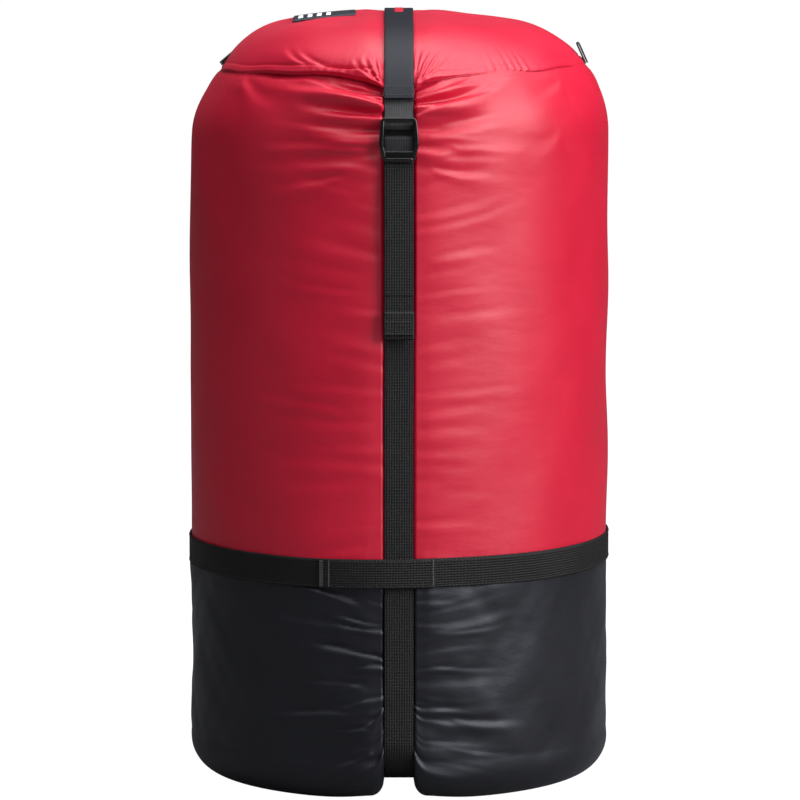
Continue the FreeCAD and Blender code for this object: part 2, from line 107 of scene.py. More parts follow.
SHOULDER_X = SACK_R - SHOULDER_R
DOME_Z = CROWN_Z - DOME_R
SHOULDER_Z = DOME_Z + math.sqrt((DOME_R - SHOULDER_R) ** 2 - SHOULDER_X**2)
DOME_LEAN = math.atan2(SHOULDER_X, SHOULDER_Z - DOME_Z)
S_CORNER = SACK_R - CORNER_R
S_SIDE = S_CORNER + CORNER_R * math.pi / 2
S_SHOULDER = S_SIDE + SHOULDER_Z - CORNER_R
S_DOME = S_SHOULDER + SHOULDER_R * (math.pi / 2 - DOME_LEAN)
S_CROWN = S_DOME + DOME_R * DOME_LEAN


# ---- shapes ----------------------------------------------------------------------------------
def ease(t):
    """0 below 0, 1 above 1, and 3t^2 - 2t^3 between."""
    t = np.clip(t, 0, 1)
    return t * t * (3 - 2 * t)


def outline(s):
    """Radius, height and outward normal of the sack's outline at arc length s: five stretches, each
    a line or a circular arc that starts where the last one ended."""
    s = np.asarray(s, float)
    corner = (s - S_CORNER) / CORNER_R - math.pi / 2
    shoulder = (s - S_SHOULDER) / SHOULDER_R
    dome = math.pi / 2 - DOME_LEAN + (s - S_DOME) / DOME_R
    stretch = [s < S_CORNER, s < S_SIDE, s < S_SHOULDER, s < S_DOME]
    one, none = np.ones_like(s), np.zeros_like(s)
    nr = [none, np.cos(corner), one, np.cos(shoulder)]
    nz = [-one, np.sin(corner), none, np.sin(shoulder)]
    r = [s, S_CORNER + CORNER_R * nr[1], SACK_R * one, SHOULDER_X + SHOULDER_R * nr[3]]
    z = [none, CORNER_R * (1 + nz[1]), CORNER_R + s - S_SIDE, SHOULDER_Z + SHOULDER_R * nz[3]]
    return (
        np.select(stretch, r, DOME_R * np.cos(dome)),
        np.select(stretch, z, DOME_Z + DOME_R * np.sin(dome)),
        np.select(stretch, nr, np.cos(dome)),
        np.select(stretch, nz, np.sin(dome)),
    )


S_TABLE = np.linspace(S_CORNER, S_CROWN, 4000)
Z_TABLE = outline(S_TABLE)[1]


def s_at(z):
    """Arc length at a height, read from the outline."""
    return np.interp(z, Z_TABLE, S_TABLE)


def turned(angle, r, z):
    """Points at a radius and a height, turned to an angle round the sack."""
    angle, r, z = np.broadcast_arrays(angle, r, z)
    return np.stack([r * np.sin(angle), -r * np.cos(angle), z], -1)


def on_sack(angle, s, proud=0.0, lift=0.0):
    """Points of the outline turned to an angle and moved out along its normal. The lift raises the
    base by its share of the strap's lift, and fades out from the corner's top upwards."""
    r, z, nr, nz = outline(s)
    raise_z = lift * STRAP_LIFT * (1 - ease((z - CORNER_R) / (60 * MM)))
    return turned(angle, r + nr * proud, z + nz * proud + raise_z)


def sack_normal(angle, s):
    """Outward normals of the outline at an angle."""
    return turned(angle, *outline(s)[2:])


def angles_round(count):
    """Angles round the sack, closer together near the two straps: phi - 0.25 sin(2 phi)."""
    phi = np.arange(count + 1) / count * TURN
    return phi - 0.25 * np.sin(2 * phi)


def quad_corners(rows, cols):
    """Row and column of each face's four corners, for a grid of this many faces."""
    i, j = (g.ravel() for g in np.meshgrid(np.arange(rows), np.arange(cols), indexing="ij"))
    return [(i, j), (i, j + 1), (i + 1, j + 1), (i + 1, j)]


def surface(name, points, uv=None, around=False, pole=None, caps=False, material=None):
    """A mesh from a grid of points, rows by columns, with its faces turned the way of columns cross
    rows. around joins the last column, which repeats the first, to the first. pole closes the last
    row onto one point, and caps closes the first and last rows with a face each. uv is in metres."""
    rows, cols = points.shape[:2]
    span = cols - 1
    width = span if around else cols
    flat = points[:, :width].reshape(-1, 3)
    corners = quad_corners(rows - 1, span)
    faces = np.stack([a * width + b % width for a, b in corners], 1).tolist()
    if uv is None:
        uv = np.zeros((rows, cols, 2))
    loops = np.stack([uv[a, b] for a, b in corners], 1).reshape(-1, 2)
    if pole is not None:
        flat = np.vstack([flat, pole])
        k = np.arange(span)
        last = (rows - 1) * width
        fan = np.stack([last + k, last + (k + 1) % width, np.full(span, len(flat) - 1)], 1)
        faces += fan.tolist()
        tip = (uv[-1, :-1] + uv[-1, 1:]) / 2
        loops = np.vstack([loops, np.stack([uv[-1, :-1], uv[-1, 1:], tip], 1).reshape(-1, 2)])
    if caps:
        faces += [list(range(width))[::-1], [(rows - 1) * width + k for k in range(width)]]
        loops = np.vstack([loops, uv[0, :width][::-1], uv[-1, :width]])
    return mesh_object(name, flat, faces, loops, material)


def mesh_object(name, points, faces, loops=None, material=None):
    """An object at the origin with these points, faces and corner UVs."""
    mesh = bpy.data.meshes.new(name)
    mesh.from_pydata(np.asarray(points).tolist(), [], faces)
    if loops is not None:
        layer = mesh.uv_layers.new(name="cloth")
        layer.data.foreach_set("uv", np.asarray(loops, np.float32).ravel())
    mesh.polygons.foreach_set("use_smooth", np.full(len(mesh.polygons), True))
    mesh.update()
    thing = bpy.data.objects.new(name, mesh)
    bpy.context.scene.collection.objects.link(thing)
    if material is not None:
        mesh.materials.append(material)
    return thing


def resample(path, *others, step=1.0 * MM):
    """The path, and arrays that go with it, at even steps along its length, and those lengths."""
    lengths = np.concatenate([[0], np.cumsum(np.linalg.norm(np.diff(path, axis=0), axis=1))])
    count = max(2, int(round(lengths[-1] / step)) + 1)
    at = np.linspace(0, lengths[-1], count)
    out = [np.stack([np.interp(at, lengths, a[:, k]) for k in range(3)], 1) for a in (path, *others)]
    return (*out, at)


def belt_section(half_width, thickness):
    """Closed outline of flat webbing: two straight faces joined by half circles at the edges.
    Gives the offset across the width and the offset through the thickness."""
    r = thickness / 2
    flat = half_width - r
    top = np.linspace(flat, -flat, 10)
    turn = np.linspace(0, math.pi, 6)[1:-1]
    face = np.full_like(top, r)
    w = np.concatenate([top, -flat - r * np.sin(turn), -top, flat + r * np.sin(turn)])
    t = np.concatenate([face, r * np.cos(turn), -face, -r * np.cos(turn)])
    return w, t


def webbing(name, path, normal, half_width, thickness, material, across=None, step=1.0 * MM, wander=0.0):
    """Flat webbing whose section is carried along a path. across is the direction of its width, +X
    unless given. The edges wander by a slow sum of sines. Both ends are closed."""
    if across is None:
        across = np.tile([1.0, 0.0, 0.0], (len(path), 1))
    path, normal, across, at = resample(path, normal, across, step=step)
    w, t = belt_section(half_width, thickness)
    tangent = np.gradient(path, axis=0)
    if np.sum(np.cross(-across, tangent) * normal) < 0:
        w, t = w[::-1], t[::-1]
    w, t = np.append(w, w[0]), np.append(t, t[0])
    drift = wander * (np.sin(at / (31 * MM)) + 0.6 * np.sin(at / (11 * MM) + 1))
    side = w[None, :] + drift[:, None]
    points = path[:, None] + side[..., None] * across[:, None] + t[None, :, None] * normal[:, None]
    uv = np.stack(np.broadcast_arrays(w[None, :], at[:, None]), -1)
    return surface(name, points, uv, around=True, caps=True, material=material)


def stitches(name, places, along, out, length, width, material):
    """A row of thread dashes. Each is a long low dome, length by width, at a place and along a
    direction. With u and v from -1 to 1 along and across it, its height goes as
    sqrt(1 - u^4 - v^2)."""
    u = np.linspace(-1, 1, 7)
    v = np.linspace(-1, 1, 5)
    uu, vv = np.meshgrid(u, v, indexing="ij")
    height = 0.25 * MM * np.sqrt(np.clip(1 - np.abs(uu) ** 4 - vv**2, 0, 1))
    across = np.cross(out, along)
    dash = (
        places[:, None, None]
        + (uu * length / 2)[None, ..., None] * along[:, None, None]
        + (vv * width / 2)[None, ..., None] * across[:, None, None]
        + height[None, ..., None] * out[:, None, None]
    )
    corners = quad_corners(len(u) - 1, len(v) - 1)
    quad = np.stack([a * len(v) + b for a, b in corners[:1] + corners[:0:-1]], 1)
    faces = (quad[None] + uu.size * np.arange(len(places))[:, None, None]).reshape(-1, 4)
    return mesh_object(name, dash.reshape(-1, 3), faces.tolist(), None, material)


# ---- creases ---------------------------------------------------------------------------------
def crease(a, up, start, end, bow, width, height):
    """One crease in cloth. It runs from start to end on a line bowed downwards by bow. With q the
    distance below the line over a width that grows along it, its ridge is exp(-q^2), 2.4 times as
    wide on its lower side, with a shallower trough above it. It starts quickly and dies out slowly.
    All in mm."""
    run, rise = end[0] - start[0], end[1] - start[1]
    length = math.hypot(run, rise)
    t = ((a - start[0]) * run + (up - start[1]) * rise) / length**2
    below = ((up - start[1]) * run - (a - start[0]) * rise) / length * (1 if run < 0 else -1)
    q = (below - bow * 4 * t * (1 - t)) / (width * (0.6 + 0.8 * np.clip(t, 0, 1)))
    ridge = np.exp(-(np.where(q > 0, q / 2.4, q) ** 2))
    trough = 0.7 * np.exp(-(((q + 1.7) / 1.1) ** 2))
    fade = ease((t + 0.12) / 0.16) * (1 - ease((t - 0.25) / 0.75))
    return height * fade * (ridge - trough)


def creases(a, up, table):
    """Sum of the creases in a table."""
    return sum(crease(a, up, *row) for row in table)


def ripple(angle, wave, seed):
    """Uneven ripple round the sack of about one wavelength: six sines with whole counts round it."""
    rng = np.random.default_rng(seed)
    counts = np.round(TURN * SACK_R / wave * rng.uniform(0.65, 1.35, 6))
    phases = rng.uniform(0, TURN, 6)
    return sum(np.sin(n * angle + p) for n, p in zip(counts, phases)) / 2.4


def swell(angle, s, seed, wave=0.12):
    """Slow unevenness of packed cloth: products of sines round and up the sack."""
    rng = np.random.default_rng(seed)
    total = 0
    for _ in range(7):
        n = round(TURN * SACK_R / wave * rng.uniform(0.5, 1.5))
        total = total + np.sin(n * angle + rng.uniform(0, TURN)) * np.sin(
            s / wave * rng.uniform(3, 8) + rng.uniform(0, TURN)
        )
    return total / 3


def from_strap(angle):
    """Distance round the sack from the nearer strap, in mm, positive towards +X at the front, and
    which strap it is: 0 at the front, 1 at the back."""
    back = np.cos(angle) < 0
    turned = np.where(back, angle - math.pi, angle)
    turned = (turned + math.pi) % TURN - math.pi
    return turned * SACK_R / MM, back


def fan(seed, side, count, up_range, middle, spread, reach, width, height):
    """Fine creases that leave one side of the strap and fan out from a middle height: each rises
    by spread times its start's height over the middle, with random length, width and height."""
    rng = np.random.default_rng(seed)
    rows = []
    for up in np.linspace(*up_range, count):
        start = side * (10.5 + rng.choice([0, 0, 6, 18, 34]) * rng.uniform(0.5, 1))
        up = up + rng.uniform(-4, 4)
        far = rng.uniform(*reach)
        rise = spread * (up - middle) * far / 40 + rng.uniform(-0.1, 0.1) * far
        rows.append(((start, up), (start + side * far, up + rise), rng.uniform(-3, 3),
                     rng.uniform(*width), rng.uniform(0.35, 1.0) * height))
    return rows


# Creases of the front, in mm from the strap's middle and mm up the cloth.
BODY_CREASES = [
    ((-10, 494), (-88, 512), 2, 2.8, 4.6),
    ((-10, 488), (-104, 499), -3, 3.4, 6.0),
    ((-10, 480), (-88, 487), 2, 3.4, 4.2),
    ((-10, 468), (-80, 471), 3, 4.5, 3.0),
    ((-14, 452), (-98, 444), 5, 6.0, 1.2),
    ((-12, 432), (-80, 428), 2, 6.0, 0.4),
    ((10, 493), (70, 515), 2, 2.6, 4.6),
    ((10, 487), (92, 502), 2, 3.2, 6.4),
    ((10, 481), (66, 490), -2, 2.4, 3.2),
    ((12, 468), (84, 478), 4, 5.0, 1.8),
    ((11, 458), (50, 452), 0, 3.4, 2.6),
    ((-11, 250), (-52, 246), 1, 5.0, 0.3),
    ((11, 222), (48, 226), 1, 5.0, 0.3),
    ((-11, 204), (-50, 198), 1, 3.0, 0.4),
    ((11, 196), (56, 192), 1, 3.0, 0.4),
    ((140, 500), (92, 484), 2, 5.0, 0.7),
    ((-142, 505), (-90, 480), 3, 5.0, 1.2),
    ((126, 462), (84, 440), 3, 7.0, 0.5),
    *fan(51, -1, 7, (460, 492), 478, 0.3, (24, 60), (0.9, 1.8), 0.7),
    *fan(52, 1, 7, (462, 492), 478, 0.3, (20, 48), (0.9, 1.8), 0.7),
    *fan(53, -1, 20, (180, 440), 300, 0.05, (36, 110), (1.8, 5.0), 0.7),
    *fan(54, 1, 20, (180, 440), 300, 0.05, (36, 110), (1.8, 5.0), 0.55),
    *fan(55, -1, 10, (440, 500), 470, 0.25, (50, 120), (1.6, 4.0), 1.0),
    *fan(56, 1, 10, (440, 500), 470, 0.25, (40, 110), (1.6, 4.0), 0.9),
]
LID_CREASES = [
    ((-11, 501), (-17, 532), 1, 1.3, 1.8),
    ((-12, 502), (-25, 532), 1, 1.4, 1.9),
    ((-14, 503), (-33, 530), 2, 1.5, 1.7),
    ((-17, 505), (-43, 528), 2, 1.7, 1.4),
    ((-24, 515), (-88, 523), 3, 2.4, 2.0),
    ((-66, 521), (-100, 535), 2, 2.0, 1.2),
    ((-82, 521), (-116, 537), 2, 2.2, 1.1),
    ((11, 500), (15, 538), -1, 1.2, 2.0),
    ((12, 500), (23, 538), -1, 1.3, 2.3),
    ((13, 501), (31, 536), -2, 1.4, 2.2),
    ((15, 502), (39, 535), -2, 1.5, 2.2),
    ((17, 503), (48, 533), -2, 1.6, 1.8),
    ((20, 505), (60, 530), -2, 1.8, 1.4),
]
BASE_CREASES = [
    ((-10.5, 122), (-58, 141), 2, 1.8, 0.8),
    ((-10.5, 140), (-52, 146), -1, 1.8, 0.5),
    ((-22, 109), (-74, 108), -1, 1.6, 0.7),
    ((-10.5, 97), (-46, 89), -2, 1.8, 0.9),
    ((-26, 82), (-66, 74), -1, 2.0, 0.5),
    ((-10.5, 64), (-48, 44), 3, 2.0, 1.5),
    ((-16, 56), (-44, 38), 3, 1.6, 0.9),
    ((-10.5, 26), (-62, 16), -2, 4.0, 1.0),
    ((10.5, 142), (48, 139), -1, 1.8, 0.6),
    ((10.5, 127), (60, 130), 3, 2.0, 0.5),
    ((10.5, 94), (52, 95), -1, 1.5, 0.6),
    ((10.5, 66), (60, 60), -2, 1.7, 1.1),
    ((10.5, 60), (46, 53), -1, 1.4, 0.6),
    ((10.5, 26), (66, 16), 2, 4.0, 1.0),
    *fan(61, -1, 22, (22, 148), 95, 0.28, (22, 80), (1.0, 2.6), 1.2),
    *fan(62, 1, 16, (22, 148), 95, 0.12, (22, 80), (1.0, 2.6), 0.4),
    *fan(63, -1, 6, (40, 140), 95, 0.1, (60, 110), (3.5, 6.0), 0.8),
    *fan(64, 1, 6, (40, 140), 95, 0.1, (60, 110), (3.5, 6.0), 0.8),
]
BODY_BACK = [row for side in (-1, 1) for row in (
    *fan(70 + side, side, 9, (446, 494), 472, 0.3, (30, 90), (1.4, 4.0), 2.2),
    *fan(74 + side, side, 16, (180, 440), 300, 0.05, (36, 110), (1.8, 5.0), 0.6),
)]
LID_BACK = [row for side in (-1, 1) for row in
            fan(80 + side, side, 6, (504, 512), 490, 1.2, (12, 40), (1.1, 1.9), 1.2)]
BASE_BACK = [row for side in (-1, 1) for row in
             fan(90 + side, side, 18, (22, 148), 95, 0.28, (18, 60), (1.0, 2.6), 1.1)]


def slope(angle, s):
    """How far the shoulder on the -X side is let in: a bump of the angle and of the arc length."""
    side = np.clip(-np.sin(angle), 0, 1) ** 2
    return -7.8 * MM * side * np.exp(-(((s - S_SHOULDER - 46 * MM) / (36 * MM)) ** 2))


def creased(angle, up, front, back):
    """Height of the creases, in metres, of whichever strap is nearer."""
    a, at_back = from_strap(angle)
    up = up / MM
    return np.where(at_back, creases(a, up, back), creases(a, up, front)) * MM


def up_of(s):
    """Distance up the cloth: equal to the height on the straight side."""
    return s - S_SIDE + CORNER_R


def s_of(up):
    """Arc length at a distance up the cloth."""
    return up + S_SIDE - CORNER_R


def hem_up(angle):
    """How far up the cloth the lid's edge lies: level all round, and drawn down at the straps by
    an exponential of the distance from them."""
    a, _ = from_strap(angle)
    edge = up_of(s_at(LID_EDGE_Z)) + 9 * MM
    drawn = 15 * MM * np.exp(-np.maximum(np.abs(a) - 9, 0) / 24)
    return edge - drawn + 0.6 * MM * ripple(angle, 70 * MM, 11)


def across_strap(angle, s):
    """Distance from the plane that both straps lie in."""
    return np.abs(outline(s)[0] * np.sin(angle))


def strap_valley(angle, s, under, pillow, width=1.3 * MM):
    """Proud of the cloth beside a strap: under is its depth below the strap, and pillow is the
    swelling on both sides of it, a bump of the distance from the strap in the strap's plane."""
    x = across_strap(angle, s)
    sunk = 1 - ease((x - HALF_WEB - 0.3 * MM) / width)
    swollen = np.exp(-(((x - 24 * MM) / (15 * MM)) ** 2)) * ease((x - HALF_WEB) / (12 * MM))
    return -under * sunk + pillow * swollen


def hem_depth(angle):
    """How deep the hem's folds are round the sack: deepest left of the front strap, shallow right."""
    a, at_back = from_strap(angle)
    left = 1 - ease((a + 20) / 70)
    front = 0.75 * left * np.exp(-np.maximum(-a - 110, 0) / 40) + 0.5 * np.exp(-(((a - 12) / 38) ** 2))
    return np.where(at_back, 0.3, 0.08 + front)


def held_under(angle, s, proud, limit, margin=0.4 * MM):
    """Proud kept down to a limit where the strap covers the cloth."""
    covered = across_strap(angle, s) < HALF_WEB + margin
    return np.where(covered, np.minimum(proud, limit), proud)


# ---- cloth -----------------------------------------------------------------------------------
def sack_cloth(name, angle, s, points, material, pole=None):
    """Cloth all the way round the sack. Its UVs are the distances round it and up it."""
    uv = np.stack(np.broadcast_arrays(angle * SACK_R, s), -1)
    return surface(name, points, uv, around=True, pole=pole, material=material)


def body_cloth(material):
    """Red wall of the sack, from under the waist band to inside the lid: the outline plus the
    straps' valleys, the creases that leave them, a tuck under the hem and a slow swell."""
    angle = angles_round(520)[None, :]
    rows = 1 - (1 - np.linspace(0, 1, 180)) ** 1.6
    bottom = s_at(SEAM_Z - 4 * MM)
    top = s_of(hem_up(angle)) + 4 * MM
    s = bottom + rows[:, None] * (top - bottom)
    below_hem = s_of(hem_up(angle)) - s
    up = up_of(s)
    depth = hem_depth(angle)
    pucker = 0.25 * MM * ripple(angle, 16 * MM, 21) * np.exp(-np.maximum(below_hem, 0) / (9 * MM)) * depth
    foot = np.exp(-(up - SEAM_Z) / (7 * MM))
    gather = 0.35 * MM * ripple(angle, 11 * MM, 22) * foot
    tuck = -(0.35 + 2.75 * depth) * MM * ease((7 * MM - below_hem) / (7 * MM))
    roll = 1.3 * MM * np.exp(-(((below_hem - 12 * MM) / (6 * MM)) ** 2)) * depth
    proud = (
        strap_valley(angle, s, 2.1 * MM, 0.5 * MM)
        + creased(angle, up, BODY_CREASES, BODY_BACK) * ease((below_hem + 1 * MM) / (6 * MM))
        + (0.7 * swell(angle, s, 23) + 0.2 * swell(angle, s, 27, 0.07)) * MM
        + pucker + gather + tuck + roll + slope(angle, s)
        - 1.0 * MM * foot
    )
    proud = held_under(angle, s, proud, -1.9 * MM)
    return sack_cloth("body_cloth", angle, s, on_sack(angle, s, proud), material)


def base_cloth(material):
    """Black base and lower wall in one: from the middle of the base up to the waist band. The strap
    lifts the cloth into a channel between two lobes, whose edges are quarter rounds of 9 mm. The
    corner bulges by the sine of twice its angle, and the base rises a little beside the channel."""
    angle = angles_round(520)[None, :]
    flat = np.linspace(4 * MM, S_CORNER, 50)[:-1]
    s = np.concatenate([flat, np.linspace(S_CORNER, s_at(SEAM_Z + 3 * MM), 140)])[:, None]
    z = outline(s)[1]
    x = across_strap(angle, s)
    away = np.clip((x - HALF_WEB - 0.3 * MM) / (9 * MM), 0, 1)
    channel = 1 - np.sqrt(1 - (1 - away) ** 2)
    up = up_of(s)
    crease_height = creased(angle, up, BASE_CREASES, BASE_BACK) * ease((z - 4 * MM) / (14 * MM))
    foot = np.exp(-np.maximum(SEAM_Z - up, 0) / (8 * MM))
    wall = ease((z - 4 * MM) / (40 * MM))
    square = 3 * MM * np.sin(2 * np.clip((s - S_CORNER) / CORNER_R, 0, math.pi / 2))
    uneven = 1.1 * swell(angle, s, 33) + 0.6 * swell(angle, s, 37, 0.06) + 0.25 * swell(angle, s, 38, 0.03)
    proud = (
        strap_valley(angle, s, 2.1 * MM, 0.9 * MM) * wall
        + square
        + crease_height
        + uneven * MM * wall
        + 0.3 * MM * ripple(angle, 10 * MM, 34) * foot
        - 0.8 * MM * foot
    )
    points = on_sack(angle, s, held_under(angle, s, proud, -1.9 * MM), channel)
    beside = np.exp(-(((x - HALF_WEB) / (26 * MM)) ** 2)) * (1 - channel)
    points[..., 2] += 3 * MM * beside * (1 - ease(z / (50 * MM)))
    points[..., 2] = np.maximum(points[..., 2], 0)
    pole = [0, 0, STRAP_LIFT + 2 * MM]
    return sack_cloth("base_cloth", angle[:, ::-1], s[::-1], points[::-1, ::-1], material, pole)


def lid_cloth(material):
    """Lid from its turned hem to the crown. The hem is a smooth band 5 mm high that stands proud,
    with a sunk seam above it; above that the dome swells and carries the pleats that the strap's
    ends gather."""
    angle = angles_round(520)[None, :]
    hem = s_of(hem_up(angle))
    t = np.linspace(0, 1, 150)[:, None]
    s = hem + (S_CROWN - hem) * t**1.6 * 0.985
    above = s - hem
    up = up_of(s)
    depth = hem_depth(angle)
    band = 1.7 * MM * ease(above / (1.4 * MM)) * (1 - ease((above - 4.4 * MM) / (1.8 * MM)))
    seam = -0.9 * MM * np.exp(-(((above - 6.6 * MM) / (1.3 * MM)) ** 2))
    bulge = 1.6 * MM * np.exp(-(((above - 15 * MM) / (9 * MM)) ** 2))
    edge = -(0.3 + 1.3 * depth) * MM * (1 - ease(above / (1.2 * MM)))
    near = np.exp(-above / (8 * MM))
    a, _ = from_strap(angle)
    drawn = np.exp(-np.abs(a) / 35) + 0.8 * np.exp(-(((a - 98) / 26) ** 2)) + 0.15
    proud = (
        strap_valley(angle, s, 0.4 * MM, 0.8 * MM, 2 * MM) * ease((S_CROWN - s) / (40 * MM))
        + creased(angle, up, LID_CREASES, LID_BACK)
        + (band + seam + bulge) * depth
        + edge
        + 0.5 * MM * ripple(angle, 8 * MM, 42) * near * drawn
        + 0.6 * MM * swell(angle, s, 43) * ease((S_CROWN - s) / (60 * MM))
        + slope(angle, s)
    )
    points = on_sack(angle, s, held_under(angle, s, proud, 0.1 * MM, 0.3 * MM))
    return sack_cloth("lid_cloth", angle, s, points, material, [0, 0, CROWN_Z + 0.05 * MM])


def lid_inside(material):
    """Inner face of the lid, 1.3 to 1.5 mm under its outline, turned to face down."""
    angle = angles_round(200)[None, :]
    hem = s_of(hem_up(angle))
    s = hem + (S_CROWN - hem) * np.linspace(0, 0.99, 40)[:, None]
    proud = -1.3 * MM - 0.2 * MM * ease((s - hem) / (8 * MM)) + slope(angle, s)
    points = on_sack(angle, s, proud)[:, ::-1]
    return sack_cloth("lid_inside", angle, s, points, material, [0, 0, CROWN_Z - 1.5 * MM])


def collar_cloth(material):
    """The sack's gathered mouth under the lid: the outline let in 3 mm, dished in the middle, with
    pleats that deepen towards the hem tube in the middle."""
    angle = np.linspace(0, TURN, 361)[None, :]
    s_low = s_at(BODY_TOP_Z - 6 * MM)
    t = np.linspace(0, 1, 90)[:, None]
    s = s_low + (S_CROWN - 9 * MM - s_low) * t
    r = outline(s)[0]
    dish = 15 * MM * ease((52 * MM - r) / (42 * MM))
    pleat = (1 - np.abs(np.sin(14 * angle + 0.4 * np.sin(3 * angle)))) * 3.4 * MM
    deep = ease((80 * MM - r) / (60 * MM)) * ease((r - 6 * MM) / (10 * MM))
    let_in = -3.2 * MM - 0.8 * MM * (1 + np.sin(9 * angle)) * (1 - t) * t
    points = on_sack(angle, s, let_in + slope(angle, s))
    points[..., 2] -= dish + pleat * deep
    return sack_cloth("collar_cloth", angle, s, points, material)


def mouth_tube(material):
    """Puckered tube that closes the collar: a torus whose section swells and shrinks round it."""
    low_z, high_z = low("mouth_hem", 2), high("mouth_hem", 2)
    tube = (high_z - low_z) / 2
    ring = high("mouth_hem", 0) - tube
    angle = np.linspace(0, TURN, 97)[:, None]
    turn = np.linspace(0, TURN, 25)[None, :]
    section = tube * (1 - 0.1 * (1 + np.cos(22 * angle)) / 2)
    r = ring + section * np.cos(turn)
    z = (low_z + high_z) / 2 + section * np.sin(turn)
    uv = np.stack(np.broadcast_arrays(turn * tube, angle * ring), -1)
    return surface("mouth_tube", turned(angle, r, z), uv, around=True, material=material)


# ---- webbing ---------------------------------------------------------------------------------
def run_over_sack(s_from, s_to, angle, proud, lift=0.0, count=400):
    """Path and normals along the outline at one angle."""
    s = np.linspace(s_from, s_to, count)
    return on_sack(angle, s, proud, lift), sack_normal(angle, s)


def strap_through(name, s_end, s_middle, proud, wander, material, lift=0.0, count=400):
    """A strap from the front, through the middle of the base or of the crown, to the back."""
    front, front_n = run_over_sack(s_end, s_middle, 0.0, proud, lift, count)
    back, back_n = run_over_sack(s_middle, s_end, math.pi, proud, lift, count)
    path = np.vstack([front, back[1:]])
    normal = np.vstack([front_n, back_n[1:]])
    return webbing(name, path, normal, HALF_WEB, WEB, material, wander=wander)


def upper_strap(side, angle, material):
    """The tight strap from the join up to the buckle."""
    path, normal = run_over_sack(s_at(STRAP_JOIN_Z), s_at(STRAP_TOP_Z), angle, TIGHT_PROUD)
    return webbing(f"{side}_strap_upper", path, normal, HALF_WEB, WEB, material)


def side_path(angle, points):
    """A path given as (out, z) from the sack's wall at an angle, with its outward normals. The
    normal is square to the path and to the strap's width."""
    points = np.asarray(points, float)
    path = turned(angle, SACK_R + points[:, 0], points[:, 1])
    tangent = np.gradient(path, axis=0)
    across = np.array([math.cos(angle), math.sin(angle), 0.0])
    normal = np.cross(tangent, across)
    normal /= np.linalg.norm(normal, axis=1)[:, None]
    return path, normal


def arc(out, z, r, start, end, count=24):
    """Points (out, z) on a circle, with angles in degrees from straight out, rising upwards."""
    turn = np.radians(np.linspace(start, end, count))
    return [(out + r * math.cos(t), z + r * math.sin(t)) for t in turn]


def strap_wrap(side, angle, material):
    """The strap round the grip bar: up behind it, over the top and down in front."""
    r = GRIP_BAR_R + 0.15 * MM + WEB / 2
    foot = STRAP_TOP_Z + 0.3 * MM
    over = arc(BAR_OUT, GRIP_BAR_Z, r, 180, 0)
    points = [(BAR_OUT - r, foot), (BAR_OUT - r, GRIP_BAR_Z - 2 * MM), *over,
              (BAR_OUT + r, GRIP_BAR_Z - 2 * MM), (BAR_OUT + r, foot)]
    path, normal = side_path(angle, points)
    return webbing(f"{side}_wrap", path, normal, HALF_WEB, WEB, material, step=0.5 * MM)


def buckle_loop(side, angle, material):
    """Webbing doubled round the loop bar, from under the end of the lid's strap."""
    top_out = float(outline(s_at(LOOP_TOP_Z))[0]) - SACK_R - 1.4 * MM
    lean = math.degrees(math.atan2(LOOP_TOP_Z - LOOP_BAR_Z, top_out - BAR_OUT))
    r = LOOP_BAR_R + 0.15 * MM + WEB / 2
    round_bar = arc(BAR_OUT, LOOP_BAR_Z, r, lean + 90, lean + 270, 30)
    off = 0.72 * MM
    t = math.radians(lean + 90)
    inner = (top_out + off * math.cos(t), LOOP_TOP_Z + off * math.sin(t))
    outer = (top_out - off * math.cos(t), LOOP_TOP_Z - off * math.sin(t))
    path, normal = side_path(angle, [inner, *round_bar, outer])
    return webbing(f"{side}_loop", path, normal, HALF_WEB, WEB, material, step=0.5 * MM)


def tail_part(name, angle, top_z, low_z, thickness, half_width, material):
    """Hanging webbing: straight down, bowed out by half a millimetre in the middle."""
    z = np.linspace(top_z, low_z, 80)
    whole = (z - TAIL_LOW_Z) / (STRAP_TOP_Z - TAIL_LOW_Z)
    out = TAIL_OUT + WEB / 2 + 0.4 * MM * np.sin(math.pi * np.clip(whole, 0, 1))
    path, normal = side_path(angle, np.stack([out, z], 1))
    return webbing(name, path, normal, half_width, thickness, material)


def tail_end(side, angle, material):
    """The tail's end, turned up twice and sewn: one path that doubles back on itself, which gives
    three plies."""
    top, foot = TAIL_END_TOP_Z, TAIL_LOW_Z + WEB
    first = TAIL_OUT + WEB / 2
    turn = WEB * 0.5
    points = [(first, top), (first, foot + 0.2 * MM)]
    points += arc(first + turn, foot + turn * 0.2, turn, 180, 360, 14)
    points += [(first + 2 * turn, top - 1.2 * MM)]
    points += arc(first + 3 * turn, top - 1.0 * MM, turn, 180, 0, 14)
    points += [(first + 4 * turn, foot + 2.5 * MM)]
    path, normal = side_path(angle, points)
    return webbing(f"{side}_end", path, normal, HALF_WEB + 0.4 * MM, WEB * 0.96, material, step=0.5 * MM)


def band_z(angle):
    """Height of the waist band's middle: it sits 1.4 mm higher on the +X side, and wavers."""
    return SEAM_Z + 1.4 * MM * np.sin(angle) + 0.25 * MM * np.sin(5 * angle + 0.7)


def ring_belt(name, z, proud, half_width, thickness, material, start=0.0, end=TURN):
    """Webbing round the sack, its middle at a height given by a function of the angle."""
    angle = np.linspace(start, end, 900)
    path = turned(angle, SACK_R + proud, z(angle))
    across = np.tile([0.0, 0.0, 1.0], (len(angle), 1))
    normal = turned(angle, 1.0, 0.0)
    return webbing(name, path, normal, half_width, thickness, material, across, wander=0.04 * MM)


